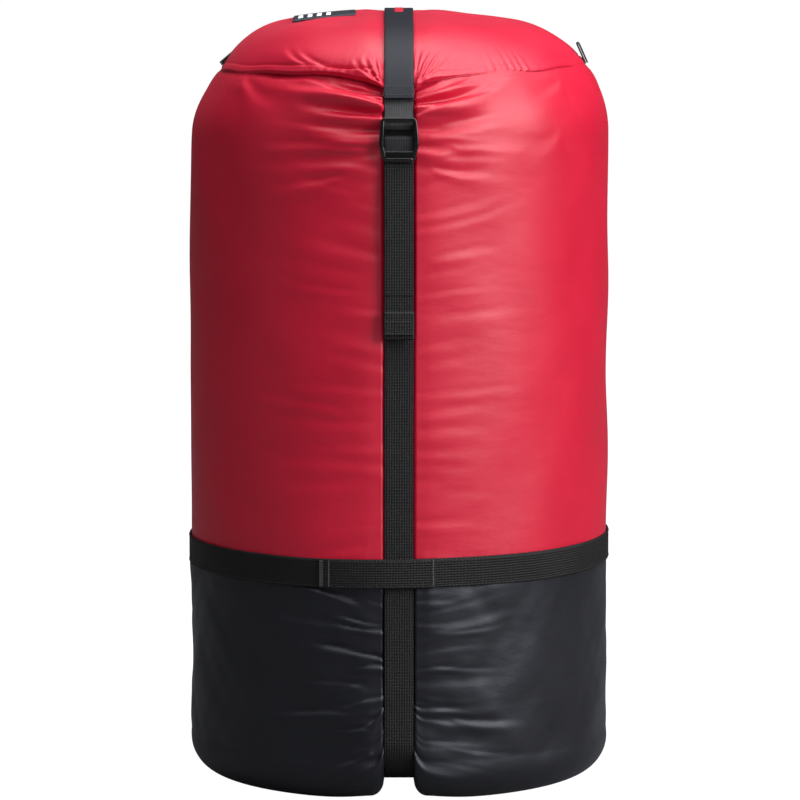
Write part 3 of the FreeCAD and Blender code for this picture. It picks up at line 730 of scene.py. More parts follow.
def turned_end(side, angle, material):
    """The strap's end turned up on itself: a short second ply, closed at the bottom by the fold."""
    start = s_at(LID_STRAP_LOW_Z - 0.6 * MM)
    path, normal = run_over_sack(start, start + 9.4 * MM, angle, 0.35 * MM + 1.5 * WEB, count=60)
    return webbing(f"{side}_turned_end", path, normal, HALF_WEB + 0.25 * MM, WEB, material, step=0.5 * MM)


def tab_loop(name, side, lean, out, length, material):
    """Hairpin of webbing sewn in under the lid's edge: up one ply, round the top and down the
    other. Its root is a distance out from the outline."""
    root_z = low(name, 2) + 1.0 * MM
    root_x = side * (float(outline(s_at(root_z))[0]) + out)
    r = 0.75 * MM
    turn = np.radians(np.linspace(0, 180, 16))
    x = np.concatenate([[r, r], r * np.cos(turn), [-r, -r]])
    z = np.concatenate([[0, length * 0.5], length - r + r * np.sin(turn), [length * 0.5, 0]])
    c, s = math.cos(lean), math.sin(lean)
    px = root_x + (x * c - side * z * s)
    pz = root_z + z * c + side * x * s
    path = np.stack([px, np.zeros_like(px), pz], 1)
    tangent = np.gradient(path, axis=0)
    normal = np.cross(tangent, [0.0, 1.0, 0.0])
    normal /= np.linalg.norm(normal, axis=1)[:, None]
    across = np.tile([0.0, 1.0, 0.0], (len(path), 1))
    return webbing(f"{name}_webbing", path, normal, HALF_WEB, 1.1 * MM, material, across, step=0.5 * MM)


# ---- patch and mark --------------------------------------------------------------------------
def plate_on_lid(name, x0, x1, y0, y1, proud, thickness, material, border=0.0):
    """A thin rectangle that follows the lid: a grid of (x, y) raised to the dome, with its edges
    turned down to the cloth over the outermost row. border is the height of a rim near the edge."""
    u = np.linspace(x0, x1, 46)
    v = np.linspace(y0, y1, 46)
    xx, yy = np.meshgrid(u, v)
    r = np.hypot(xx, yy)
    s = np.interp(-r, -outline(S_TABLE[2000:])[0], S_TABLE[2000:])
    edge = np.minimum(np.minimum(xx - x0, x1 - xx), np.minimum(yy - y0, y1 - yy))
    lift = proud + thickness * ease(edge / (0.5 * MM)) - 0.3 * MM * (edge <= 0)
    lift = lift + border * np.exp(-(((edge - 1.2 * MM) / (0.6 * MM)) ** 2))
    _, z, nr, nz = outline(s)
    z = z + lift * nz
    grow = 1 + lift * nr / np.maximum(r, 1e-6)
    points = np.stack([xx * grow, yy * grow, z], -1)
    uv = np.stack([xx, yy], -1)
    return surface(name, points, uv, material=material)


# ---- buckle ----------------------------------------------------------------------------------
def rounded_loop(corners, radius):
    """Closed polygon with each corner replaced by a quadratic curve that starts and ends one
    radius from it."""
    corners = np.asarray(corners, float)
    before, after = np.roll(corners, 1, axis=0), np.roll(corners, -1, axis=0)

    def toward(other):
        gap = other - corners
        return corners + gap / np.linalg.norm(gap, axis=1)[:, None] * radius

    t = np.linspace(0, 1, 8)[None, :, None]
    a, b, c = toward(before)[:, None], corners[:, None], toward(after)[:, None]
    loop = ((1 - t) ** 2 * a + 2 * t * (1 - t) * b + t**2 * c).reshape(-1, 2)
    return np.vstack([loop, loop[:1]])


def rounded_box_section(half_a, half_b, r):
    """Closed rounded rectangles, with one half width and one half depth for each section, as arrays
    of a and b."""
    turn = np.linspace(0, math.pi / 2, 5)
    half_a, half_b = half_a[:, None], half_b[:, None]
    a, b = [], []
    for k in range(4):
        sign_a = (1, -1, -1, 1)[k]
        sign_b = (1, 1, -1, -1)[k]
        angle = turn + k * math.pi / 2
        a.append(sign_a * (half_a - r) + r * np.cos(angle))
        b.append(sign_b * (half_b - r) + r * np.sin(angle))
    a, b = np.hstack(a), np.hstack(b)
    return np.hstack([a, a[:, :1]]), np.hstack([b, b[:, :1]])


def buckle_parts():
    """The ladder-lock's surfaces as grids of (x, out, z): a six-sided frame whose section follows
    the cheeks' depth, then its crossbars, among them a dark bar that paints the shade in a window."""
    top, foot = BUCKLE_TOP_Z, BUCKLE_LOW_Z
    waist = GRIP_BAR_Z - 3 * MM
    right = [(11.1, top - 1.1 * MM), (12.1, waist + 4 * MM),
             (12.1, waist - 1 * MM), (10.0, foot + 1.5 * MM)]
    corners = [(x * MM, z) for x, z in right] + [(-x * MM, z) for x, z in right[::-1]]
    loop = rounded_loop(corners[::-1], 1.8 * MM)
    tangent = np.gradient(loop, axis=0)
    tangent[0] = tangent[-1] = loop[1] - loop[-2]
    tangent /= np.linalg.norm(tangent, axis=1)[:, None]
    aside = np.stack([-tangent[:, 1], tangent[:, 0]], 1)
    heights = [foot, foot + 6.5 * MM, waist, LOOP_BAR_Z + 1.4 * MM, top]
    back = np.interp(loop[:, 1], heights, np.array([5.9, 1.0, 0.7, 1.4, 4.6]) * MM)
    face = np.interp(loop[:, 1], heights, np.array([7.8, 8.4, 8.6, 8.2, 7.7]) * MM)
    wall = np.interp(loop[:, 1], heights, np.array([1.5, 1.55, 1.5, 1.5, 0.95]) * MM)
    a, b = rounded_box_section(wall, (face - back) / 2, 0.6 * MM)
    middle = (face + back) / 2
    cheeks = np.stack(
        [loop[:, :1] + aside[:, :1] * a, middle[:, None] + b, loop[:, 1:] + aside[:, 1:] * a], -1
    )
    x = np.linspace(-1, 1, 25)[:, None]

    def crossbar(out, z, half_out, half_z, reach, crown=0.0):
        """A bar along X with a superellipse section, standing crown prouder in the middle."""
        turn = np.linspace(0, TURN, 33)[None, :]
        c, s = np.cos(turn), np.sin(turn)
        u = np.sign(c) * np.abs(c) ** 0.6 * half_out
        w = np.sign(s) * np.abs(s) ** 0.6 * half_z
        proud = crown * (1 - x**2)
        return np.stack(np.broadcast_arrays(x * reach, out + u + proud, z + w), -1)

    loop_bar = crossbar(BAR_OUT, LOOP_BAR_Z, LOOP_BAR_R, LOOP_BAR_R, 12 * MM)
    grip_bar = crossbar(BAR_OUT, GRIP_BAR_Z, GRIP_BAR_R, GRIP_BAR_R, 12 * MM)
    # The sunk bar is no part of the real buckle: a dark bar deep in the window between the two webbing
    # rolls, painted shade for the gap there. The rim reaches lower than the real one, so that its black
    # also paints the shade under it.
    between = (LOOP_BAR_Z + GRIP_BAR_Z) / 2 + 0.3 * MM
    shade_filler_bar = crossbar(0.4 * MM, between, 0.8 * MM, 2.2 * MM, 11.2 * MM)
    rim_and_shade = crossbar(6.4 * MM, top - 2.0 * MM, 1.1 * MM, 1.8 * MM, 11 * MM, 0.2 * MM)
    lip = crossbar(7.0 * MM, foot + 3.8 * MM, 1.0 * MM, 3.3 * MM, 10.6 * MM, 0.35 * MM)
    lip_edge = crossbar(7.7 * MM, foot + 1.4 * MM, 0.9 * MM, 1.0 * MM, 9.6 * MM, 0.3 * MM)
    return cheeks, loop_bar, grip_bar, shade_filler_bar, rim_and_shade, lip, lip_edge


def buckle(side, angle, material):
    """All of the buckle's surfaces turned to their side of the sack and joined in one piece."""
    points, faces, start = [], [], 0
    c, s = math.cos(angle), math.sin(angle)
    for grid in buckle_parts():
        x, out, z = grid[..., 0], grid[..., 1] + SACK_R, grid[..., 2]
        placed = np.stack([x * c + out * s, x * s - out * c, z], -1)
        rows, width = placed.shape[0], placed.shape[1] - 1
        quads = np.stack([a * width + b % width for a, b in quad_corners(rows - 1, width)], 1)
        points.append(placed[:, :width].reshape(-1, 3))
        faces += (quads + start).tolist()
        start += rows * width
    thing = mesh_object(f"{side}_ladder_lock", np.vstack(points), faces, None, material)
    return face_outwards(thing)


def face_outwards(thing):
    """Merges doubles, closes open ends and turns every face outwards."""
    work = bmesh.new()
    work.from_mesh(thing.data)
    bmesh.ops.remove_doubles(work, verts=work.verts, dist=1e-6)
    open_edges = [e for e in work.edges if e.is_boundary]
    bmesh.ops.holes_fill(work, edges=open_edges, sides=0)
    bmesh.ops.recalc_face_normals(work, faces=work.faces)
    work.to_mesh(thing.data)
    work.free()
    return thing


# ---- the rolled bag --------------------------------------------------------------------------
# One turn of the roll is five plies thick, with a gap after each. In mm.
ROLL_PITCH = 24
SHELL_PLY = 1.5
LINING_PLY = 2.4
PLY_GAP = 0.3
FILL_PLY = (ROLL_PITCH - 2 * SHELL_PLY - LINING_PLY - 5 * PLY_GAP) / 2


def rolled_ply(name, depth, thickness, quilting, material):
    """One ply of the rolled bag: a spiral of half circles about two centres in turn, with a tall
    rounded section whose faces swell between the quilting lines by the sine of the height."""
    pitch, core, share = ROLL_PITCH * MM, 8 * MM, 0.955
    path, normal = [], []
    for i in range(10):
        up = 1 if i % 2 == 0 else -1
        turn = np.linspace(0, math.pi, 36)
        if i < 9:
            turn = turn[:-1]
        r = core + pitch + i * pitch / 2 - depth - thickness / 2
        direction = np.stack([up * np.cos(turn), up * np.sin(turn)], 1)
        path.append(np.array([-up * pitch / 4, 0]) + r * direction)
        normal.append(direction)
    path, normal = np.vstack(path) * share, np.vstack(normal)
    foot, head = 20 * MM, 508 * MM
    z = np.linspace(foot + 4 * MM, head - 4 * MM, 50)
    half = thickness / 2 * (1 + quilting * np.abs(np.sin(z / (62 * MM) * math.pi)) - quilting)
    turn = np.linspace(0, math.pi, 7)[1:-1]
    cap_t = thickness / 2 * (1 - quilting) * np.cos(turn)
    t = np.concatenate([half, cap_t, -half[::-1], -cap_t])
    h = np.concatenate([z, z[-1] + 4 * MM * np.sin(turn), z[::-1], z[0] - 4 * MM * np.sin(turn)])
    t, h = np.append(t, t[0]), np.append(h, h[0])
    flat = path[:, None] + normal[:, None] * t[None, :, None]
    points = np.concatenate([flat, np.broadcast_to(h[None, :, None], (*flat.shape[:2], 1))], -1)
    room = outline(s_at(np.maximum(h - STRAP_LIFT, 0.1 * MM)))[0] - 6 * MM
    room = np.minimum(room, outline(s_at(h))[0] - 6 * MM)[None, :]
    reach = np.hypot(points[..., 0], points[..., 1])
    room = room + slope(np.arctan2(points[..., 0], -points[..., 1]), s_at(h)[None, :])
    points[..., :2] *= np.minimum(1, room / reach)[..., None]
    lengths = np.arange(len(path))[:, None] * 8 * MM
    uv = np.stack(np.broadcast_arrays(lengths, h[None, :]), -1)
    ply = surface(name, points, uv, around=True, material=material)
    return face_outwards(ply)


def zip_tape(material):
    """The zip's tapes and coil down the roll's free end: a flat belt whose face carries a coil."""
    x = (low("bag_zip", 0) + high("bag_zip", 0)) / 2
    y = (low("bag_zip", 1) + high("bag_zip", 1)) / 2
    z = np.linspace(low("bag_zip", 2), high("bag_zip", 2), 200)
    path = np.stack([np.full_like(z, x), np.full_like(z, y), z], 1)
    normal = np.tile([1.0, 0.0, 0.0], (len(z), 1))
    across = np.tile([0.0, 1.0, 0.0], (len(z), 1))
    return webbing("zip_tape", path, normal, 3 * MM, 2.4 * MM, material, across, step=2 * MM)


# ---- materials -------------------------------------------------------------------------------
def colour(code):
    """Linear colour of an sRGB hex code."""
    part = np.array([int(code[i : i + 2], 16) / 255 for i in (1, 3, 5)])
    linear = np.where(part <= 0.04045, part / 12.92, ((part + 0.055) / 1.055) ** 2.4)
    return (*linear.tolist(), 1.0)


def add(tree, kind, inputs=None, out=0, **settings):
    """Adds a node and gives one of its outputs. settings are the node's own, and inputs are values
    or other nodes' outputs, by the socket's name or number."""
    made = tree.nodes.new(kind)
    for key, value in settings.items():
        setattr(made, key, value)
    for key, value in (inputs or {}).items():
        if isinstance(value, bpy.types.NodeSocket):
            tree.links.new(value, made.inputs[key])
        else:
            made.inputs[key].default_value = value
    return made.outputs[out]


def per_band(period):
    """Scale at which a band texture repeats over a real length: its own period is 2 pi / 20."""
    return TURN / 20 / period


def finish(name, deep, pale, build, depth, **shader):
    """A material with one Principled shader. build makes the share of the pale colour, the height,
    which is turned to bumps of the given depth, and the roughness or None; numbers are the shader's
    own."""
    material = bpy.data.materials.new(name)
    material.use_nodes = True
    tree = material.node_tree
    principled = tree.nodes["Principled BSDF"]
    for key, value in shader.items():
        principled.inputs[key.replace("_", " ")].default_value = value
    share, height, rough = build(partial(add, tree))
    shades = {0: share, 6: colour(deep), 7: colour(pale)}
    tint = add(tree, "ShaderNodeMix", shades, 2, data_type="RGBA")
    tree.links.new(tint, principled.inputs["Base Color"])
    bump = add(tree, "ShaderNodeBump", {"Height": height, "Distance": depth, "Strength": 1.0})
    tree.links.new(bump, principled.inputs["Normal"])
    if rough is not None:
        tree.links.new(rough, principled.inputs["Roughness"])
    return material


def coated_nylon(name, deep, pale, gloss, crinkle, **shader):
    """Plain-woven 70 denier nylon, dyed, calendered and coated on the back. It gives the eye a deep
    colour with a broad satin gleam, the small crinkles of thin cloth over something soft, and a faint
    grain. IOR 1.5. The real threads, 0.25 mm apart, are too fine to show, so they are drawn at 0.9 mm."""

    def build(n):
        uv = n("ShaderNodeUVMap", uv_map="cloth")
        place = n("ShaderNodeTexCoord", out="Object")
        patchy = n("ShaderNodeTexNoise", {"Vector": place, "Scale": 1 / (40 * MM), "Detail": 4.0}, "Fac")
        threads = {"Vector": uv, "Scale": per_band(0.9 * MM)}
        warp = n("ShaderNodeTexWave", threads, "Fac", bands_direction="X")
        weft = n("ShaderNodeTexWave", threads, "Fac", bands_direction="Y")
        weave = n("ShaderNodeMath", {0: warp, 1: weft}, operation="MULTIPLY")
        level = n("ShaderNodeMapping", {"Vector": uv, "Scale": (0.5, 1.0, 1.0)})
        folds = n("ShaderNodeTexNoise", {"Vector": level, "Scale": 1 / (22 * MM), "Detail": 2.0}, "Fac")
        small = n("ShaderNodeTexNoise", {"Vector": level, "Scale": 1 / (6 * MM), "Detail": 3.0}, "Fac")
        height = n("ShaderNodeMath", {0: folds, 1: 2.4 * crinkle, 2: 0.0}, operation="MULTIPLY_ADD")
        height = n("ShaderNodeMath", {0: small, 1: 0.75 * crinkle, 2: height}, operation="MULTIPLY_ADD")
        height = n("ShaderNodeMath", {0: weave, 1: 0.05, 2: height}, operation="MULTIPLY_ADD")
        rough = n("ShaderNodeMath", {0: patchy, 1: 0.14, 2: gloss - 0.07}, operation="MULTIPLY_ADD")
        return patchy, height, rough

    return finish(name, deep, pale, build, 0.4 * MM, **shader)


def ribbed_webbing(name, deep, worn_and_lit, rib=1.0, column=1.7, depth=0.3, **shader):
    """Heavy polypropylene webbing. It gives the eye ribs across the strap, broken into grains by the
    columns of the weave, dull, with paler tops painted where the yarns catch the light and the grooves
    left deep as painted shade, patchy where rubbed. Real ribs are 0.7 mm apart; they are drawn at
    1 mm so that they show."""

    def build(n):
        uv = n("ShaderNodeUVMap", uv_map="cloth")
        up = {"Vector": uv, "Scale": per_band(rib * MM)}
        ribs = n("ShaderNodeTexWave", up, "Fac", bands_direction="Y")
        aside = {"Vector": uv, "Scale": per_band(column * MM)}
        columns = n("ShaderNodeTexWave", aside, "Fac", bands_direction="X")
        grain = n("ShaderNodeMath", {0: ribs, 1: columns}, operation="ADD")
        fibres = n("ShaderNodeTexNoise", {"Vector": uv, "Scale": 1 / (0.6 * MM), "Detail": 2.0}, "Fac")
        height = n("ShaderNodeMath", {0: fibres, 1: 0.6, 2: grain}, operation="MULTIPLY_ADD")
        rubbed = n("ShaderNodeTexNoise", {"Vector": uv, "Scale": 1 / (18 * MM), "Detail": 3.0}, "Fac")
        # Paler colour on the tops of ribs and grains, deep in the grooves: painted highlight and painted
        # shade, made patchy by the rubbed noise.
        lit = n("ShaderNodeMath", {0: height, 1: rubbed}, operation="MULTIPLY")
        share = n("ShaderNodeMapRange", {"Value": lit, "From Min": 0.3, "From Max": 1.5})
        return share, height, None

    return finish(name, deep, worn_and_lit, build, depth * 0.5 * MM, **{"Roughness": 0.62, **shader})


def twill_strap(name, deep, pale):
    """Flat woven nylon strap with a fine twill. It gives the eye slanting lines, faint, and a soft
    even gleam. The lines are drawn 1.1 mm apart, for 0.6 mm in the real one."""

    def build(n):
        uv = n("ShaderNodeUVMap", uv_map="cloth")
        slanted = n("ShaderNodeMapping", {"Vector": uv, "Rotation": (0, 0, math.radians(35))})
        lines = {"Vector": slanted, "Scale": per_band(1.1 * MM)}
        twill = n("ShaderNodeTexWave", lines, "Fac", bands_direction="X")
        uneven = n("ShaderNodeTexNoise", {"Vector": uv, "Scale": 1 / (5 * MM), "Detail": 3.0}, "Fac")
        height = n("ShaderNodeMath", {0: twill, 1: 0.3, 2: uneven}, operation="MULTIPLY_ADD")
        return uneven, height, None

    return finish(name, deep, pale, build, 0.16 * MM, Roughness=0.6, Specular_IOR_Level=0.3)


def grained(name, deep, pale, grain, depth, gloss, **shader):
    """Surface with one kind of grain, in millimetres, that carries its colour, height and gloss."""

    def build(n):
        place = n("ShaderNodeTexCoord", out="Object")
        speck = n("ShaderNodeTexNoise", {"Vector": place, "Scale": 1 / (grain * MM), "Detail": 3.0}, "Fac")
        wide = {"Vector": place, "Scale": 1 / (8 * grain * MM), "Detail": 2.0}
        broad = n("ShaderNodeTexNoise", wide, "Fac")
        share = n("ShaderNodeMath", {0: speck, 1: 0.5, 2: 0.25}, operation="MULTIPLY_ADD")
        rough = n("ShaderNodeMath", {0: broad, 1: 0.16, 2: gloss - 0.08}, operation="MULTIPLY_ADD")
        return share, speck, rough

    return finish(name, deep, pale, build, depth * MM, **shader)


NYLON_SHEEN = {"Sheen_Roughness": 0.35, "IOR": 1.5}
RED = coated_nylon("red_coated_nylon", "#aa0026", "#b9032c", 0.47, 0.5, Specular_IOR_Level=0.56,
                   Sheen_Weight=0.04, Sheen_Tint=colour("#ff9aa4"), **NYLON_SHEEN)
# The lid is the body's cloth; its colours are a touch paler in green and blue than the body's, a faint
# painted sheen of the light from above.
LID_RED = coated_nylon("red_lid_nylon", "#ac0529", "#b80c31", 0.46, 0.3,
                       Sheen_Weight=0.08, Sheen_Tint=colour("#ff9aa4"), **NYLON_SHEEN)
BLACK = coated_nylon("black_coated_nylon", "#08080b", "#0e0e14", 0.5, 0.6, Specular_IOR_Level=0.64,
                     Specular_Tint=colour("#d6d9e6"), Sheen_Weight=0.06, Sheen_Tint=colour("#a8b2cc"),
                     **NYLON_SHEEN)
WEBBING = ribbed_webbing("black_ribbed_webbing", "#030303", "#111113", rib=1.05, column=1.75, depth=0.34,
                         Roughness=0.55, Specular_IOR_Level=0.32)
# The same webbing bent hard round a bar: its ribs close up and it gleams more. Its colours are paler than
# the straight webbing's: painted light on the loops and wraps in the buckle's windows.
LIT_BENT_WEBBING = ribbed_webbing("black_bent_webbing_painted_light", "#0b0b0d", "#303035", rib=0.8, depth=0.2,
                              Roughness=0.42, Specular_IOR_Level=0.35)
TAB_WEBBING = ribbed_webbing("grey_tab_webbing", "#1d1d20", "#424247", depth=0.45)
ZIP_COIL = ribbed_webbing("black_zip_coil", "#0e0e0f", "#29292b", rib=1.5, column=3.0, Roughness=0.4)
LID_STRAP = twill_strap("grey_flat_strap", "#0b0c12", "#181b26")
PATCH_GREY = twill_strap("grey_patch_weave", "#20232b", "#2b2e38")
# Injection-moulded acetal, IOR 1.48: smooth, slightly waxy, with tight soft highlights.
ACETAL = grained("black_moulded_acetal", "#050506", "#0b0b0d", 0.8, 0.012, 0.24, IOR=1.48,
                 Coat_Weight=0.5, Coat_Roughness=0.12)
# Twisted polyester thread: dull, with strands 0.5 mm apart.
DARK_THREAD = grained("dark_thread", "#08080a", "#1c1c1e", 0.5, 0.05, 0.6)
GREY_THREAD = grained("grey_thread", "#303034", "#4a4a4f", 0.5, 0.05, 0.6)
# Flexible ink, printed: even, slightly rubbery.
PATCH_WHITE = grained("white_printed_ink", "#dcdcdc", "#f2f2f2", 2.0, 0.04, 0.5)
MARK_RED = grained("red_printed_ink", "#b01228", "#c42036", 2.0, 0.04, 0.45)
# The rolled bag: smooth woven shell, white wadding at its ends, brushed polyester lining.
BAG_SHELL = coated_nylon("navy_bag_shell", "#182030", "#222c3e", 0.5, 0.6, Sheen_Weight=0.1)
BAG_FILL = grained("white_wadding", "#cfcec8", "#f0efea", 1.5, 0.5, 0.95, Sheen_Weight=0.3)
BAG_LINING = grained("grey_brushed_lining", "#5e6066", "#86888f", 1.2, 0.3, 0.9, Sheen_Weight=0.4)
# Rolled brass, satin, and die-cast zinc under black paint.
BRASS = grained("satin_brass", "#8f7440", "#b0935a", 1.5, 0.01, 0.36, Metallic=1.0)
BLACK_METAL = grained("black_painted_zinc", "#101011", "#1a1a1c", 0.8, 0.02, 0.4)

# ---- assembly --------------------------------------------------------------------------------
SIDES = (("front", 0.0), ("back", math.pi))
# Height where the tail's upper and lower pieces meet.
TAIL_JOIN_Z = 0.360


def stand_in(piece, nodes):
    """Hides the solid parts that a piece stands for."""
    if nodes:
        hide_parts(*nodes)
    return piece


def fit(piece, body, nodes=()):
    """Puts a piece on a body."""
    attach(piece, body)
    return stand_in(piece, nodes)


def bend(piece, nodes=()):
    """Bakes a piece's place into its mesh and hides the solid parts that it stands for."""
    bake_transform(piece)
    return stand_in(piece, nodes)


def squeeze(piece, node):
    """Bakes a piece that stands for one solid part, as bend does."""
    return bend(piece, [node])


body = squeeze(body_cloth(RED), "body_panel")
base = fit(base_cloth(BLACK), "sack", ["base_panel", "lower_panel"])
lid = fit(lid_cloth(LID_RED), "lid", ["lid_panel", "lid_hem"])
fit(lid_inside(LID_RED), "lid")
fit(collar_cloth(RED), "sack_top", ["mouth_collar"])
fit(mouth_tube(RED), "sack_top", ["mouth_hem"])

for name in ("base_seam_tape", "panel_seam_tape"):
    middle = (low(name, 2) + high(name, 2)) / 2
    level = partial(np.full_like, fill_value=middle)
    ring = ring_belt(f"{name}_cloth", level, -5.5 * MM, 5 * MM, 1 * MM, WEBBING)
    fit(ring, "sack", [name])

band_proud = 0.2 * MM + WEB / 2
band = ring_belt("waist_band_webbing", band_z, band_proud, HALF_WEB, WEB, WEBBING)
fit(band, "sack", ["waist_band"])
handle_left, handle_right = low("carry_handle", 0), high("carry_handle", 0)
handle = ring_belt("carry_handle_webbing", band_z, 1.8 * MM + WEB / 2, HALF_WEB, WEB, WEBBING,
                   math.asin(handle_left / SACK_R), math.asin(handle_right / SACK_R))
fit(handle, "sack", ["carry_handle"])


def wall_frame(angle):
    """Outward and sideways directions of the sack's wall at angles."""
    return turned(angle, 1.0, 0.0), np.stack([np.cos(angle), np.sin(angle), 0 * angle], 1)


def upright_stitches(name, x_list, proud, pitch, material):
    """Rows of stitches up the band at the given places across it."""
    rows = int(2 * (HALF_WEB - 1.2 * MM) / pitch) + 1
    heights = (np.arange(rows) - (rows - 1) / 2) * pitch
    x, height = (g.ravel() for g in np.meshgrid(x_list, heights))
    angle = np.arcsin(x / SACK_R)
    places = turned(angle, SACK_R + proud, band_z(angle) + height)
    up = np.tile([0.0, 0.0, 1.0], (len(x), 1))
    return stitches(name, places, up, turned(angle, 1.0, 0.0), 1.5 * MM, 0.9 * MM, material)


def level_stitches(name, above, proud, angle, material):
    """A row of stitches along the band, this far above its middle."""
    out, aside = wall_frame(angle)
    places = turned(angle, SACK_R + proud, band_z(angle) + above)
    return stitches(name, places, aside, out, 1.9 * MM, 0.6 * MM, material)


handle_face = 1.8 * MM + WEB
left_rows = [-54 * MM, -52.6 * MM, -48 * MM]
tacks = upright_stitches("handle_tacks", left_rows, handle_face, 1.7 * MM, GREY_THREAD)
fit(tacks, "sack", ["handle_bartacks"])
tacks = upright_stitches("handle_tacks_right", [23.6 * MM], handle_face, 1.9 * MM, GREY_THREAD)
fit(tacks, "sack")
on_handle = np.arange(math.asin(-46 * MM / SACK_R), math.asin(22 * MM / SACK_R), 2.6 * MM / SACK_R)
on_band = np.arange(0, TURN, 2.7 * MM / SACK_R)
for name, above in (("upper", HALF_WEB - 1.3 * MM), ("lower", 1.3 * MM - HALF_WEB)):
    row = level_stitches(f"handle_edge_{name}", above, handle_face, on_handle, DARK_THREAD)
    fit(row, "sack")
    row = level_stitches(f"band_edge_{name}", above, 0.2 * MM + WEB, on_band, DARK_THREAD)
    fit(row, "sack")

strap = strap_through("strap_lower", s_at(STRAP_JOIN_Z + 1 * MM), 0, TIGHT_PROUD, 0.08 * MM, WEBBING,
                      lift=1.0, count=700)
bend(strap, ["compression_strap"])
strap = strap_through("lid_strap_cloth", s_at(LID_STRAP_LOW_Z), S_CROWN, 0.3 * MM + WEB / 2, 0.15 * MM,
                      LID_STRAP)
fit(strap, "lid", ["lid_strap"])
mark_y = high("strap_mark", 1)
mark = plate_on_lid("strap_mark_print", -3.2 * MM, 3.2 * MM, -mark_y, mark_y, 0.3 * MM + WEB,
                    0.25 * MM, MARK_RED)
fit(mark, "lid", ["strap_mark"])

patch_x0, patch_x1 = low("lid_patch", 0), high("lid_patch", 0)
patch_y0, patch_y1 = low("lid_patch", 1), high("lid_patch", 1)
patch = plate_on_lid("lid_patch_cloth", patch_x0, patch_x1, patch_y0, patch_y1, 1.0 * MM, 0.6 * MM,
                     PATCH_GREY, border=0.15 * MM)
fit(patch, "lid", ["lid_patch"])
for k in range(4):
    bar_x = patch_x0 + (4 + 6.6 * k) * MM
    bar = plate_on_lid(f"patch_bar_{k}", bar_x, bar_x + 3.6 * MM, patch_y0 + 7 * MM, patch_y0 + 30 * MM,
                       1.55 * MM, 0.25 * MM, PATCH_WHITE)
    fit(bar, "lid")

for side, angle in SIDES:
    bend(upper_strap(side, angle, WEBBING))
    fit(turned_end(side, angle, LID_STRAP), "lid")
    eight = np.full(8, angle)
    _, aside = wall_frame(eight)
    s = s_at(LID_STRAP_LOW_Z + 1.6 * MM)
    across = np.linspace(-8.6, 8.6, 8)[:, None] * MM
    places = on_sack(eight, s, 0.35 * MM + 2 * WEB) + aside * across
    fit(stitches(f"{side}_strap_stitches", places, aside, sack_normal(eight, s), 1.7 * MM, 0.8 * MM,
                 DARK_THREAD), "lid")
    bend(buckle_loop(side, angle, LIT_BENT_WEBBING),
         [f"{side}_buckle_loop"])
    fit(buckle(side, angle, ACETAL), f"{side}_buckle", [f"{side}_buckle"])
    fit(strap_wrap(side, angle, LIT_BENT_WEBBING), f"{side}_buckle", [f"{side}_strap_wrap"])
    tail = tail_part(f"{side}_tail_upper", angle, STRAP_TOP_Z, TAIL_JOIN_Z - 2 * MM, WEB, HALF_WEB, WEBBING)
    bend(tail, [f"{side}_tail_strip"])
    tail_foot = TAIL_LOW_Z + 2 * MM
    tail = tail_part(f"{side}_tail_lower", angle, TAIL_JOIN_Z, tail_foot, WEB * 0.85, HALF_WEB - 0.1 * MM,
                     WEBBING)
    bend(tail)
    fit(tail_end(side, angle, WEBBING), f"{side}_tail_end", [f"{side}_tail_end"])
    nine = np.full(9, angle)
    out, aside = wall_frame(nine)
    across = np.linspace(-8.4, 8.4, 9)[:, None] * MM
    for k, z in enumerate((TAIL_LOW_Z + 5 * MM, TAIL_LOW_Z + 13 * MM)):
        places = turned(nine, SACK_R + TAIL_OUT + 3 * WEB, z) + aside * across
        row = stitches(f"{side}_end_stitches_{k}", places, aside, out, 1.6 * MM, 0.8 * MM, DARK_THREAD)
        fit(row, f"{side}_tail_end", [f"{side}_tail_stitches"])

for name, side, lean, out, length in (
    ("right_tab", 1, 24, 0.8 * MM, 15 * MM),
    ("left_tab", -1, 50, -6.5 * MM, 16 * MM),
):
    tab = tab_loop(name, side, math.radians(lean), out, length, TAB_WEBBING)
    fit(tab, name, [name])

depth = 0.0
for name, thickness, quilting, material, slot in (
    ("bag_base_shell", SHELL_PLY, 0.0, BAG_SHELL, "bag_shell_cloth"),
    ("bag_base_fill", FILL_PLY, 0.05, BAG_FILL, "bag_fill"),
    ("bag_lining", LINING_PLY, 0.0, BAG_LINING, "bag_lining_cloth"),
    ("bag_top_fill", FILL_PLY, 0.05, BAG_FILL, "bag_fill"),
    ("bag_top_shell", SHELL_PLY, 0.0, BAG_SHELL, "bag_shell_cloth"),
):
    ply = squeeze(rolled_ply(f"{name}_ply", depth * MM, thickness * MM, quilting, material), name)
    depth += thickness + PLY_GAP
squeeze(zip_tape(ZIP_COIL), "bag_zip")
METAL = {"mouth_eyelet": BRASS, "bag_zip_slider": BLACK_METAL, "bag_zip_pull": BLACK_METAL}
for node, material in METAL.items():
    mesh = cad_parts[node].data
    mesh.materials.clear()
    mesh.materials.append(material)


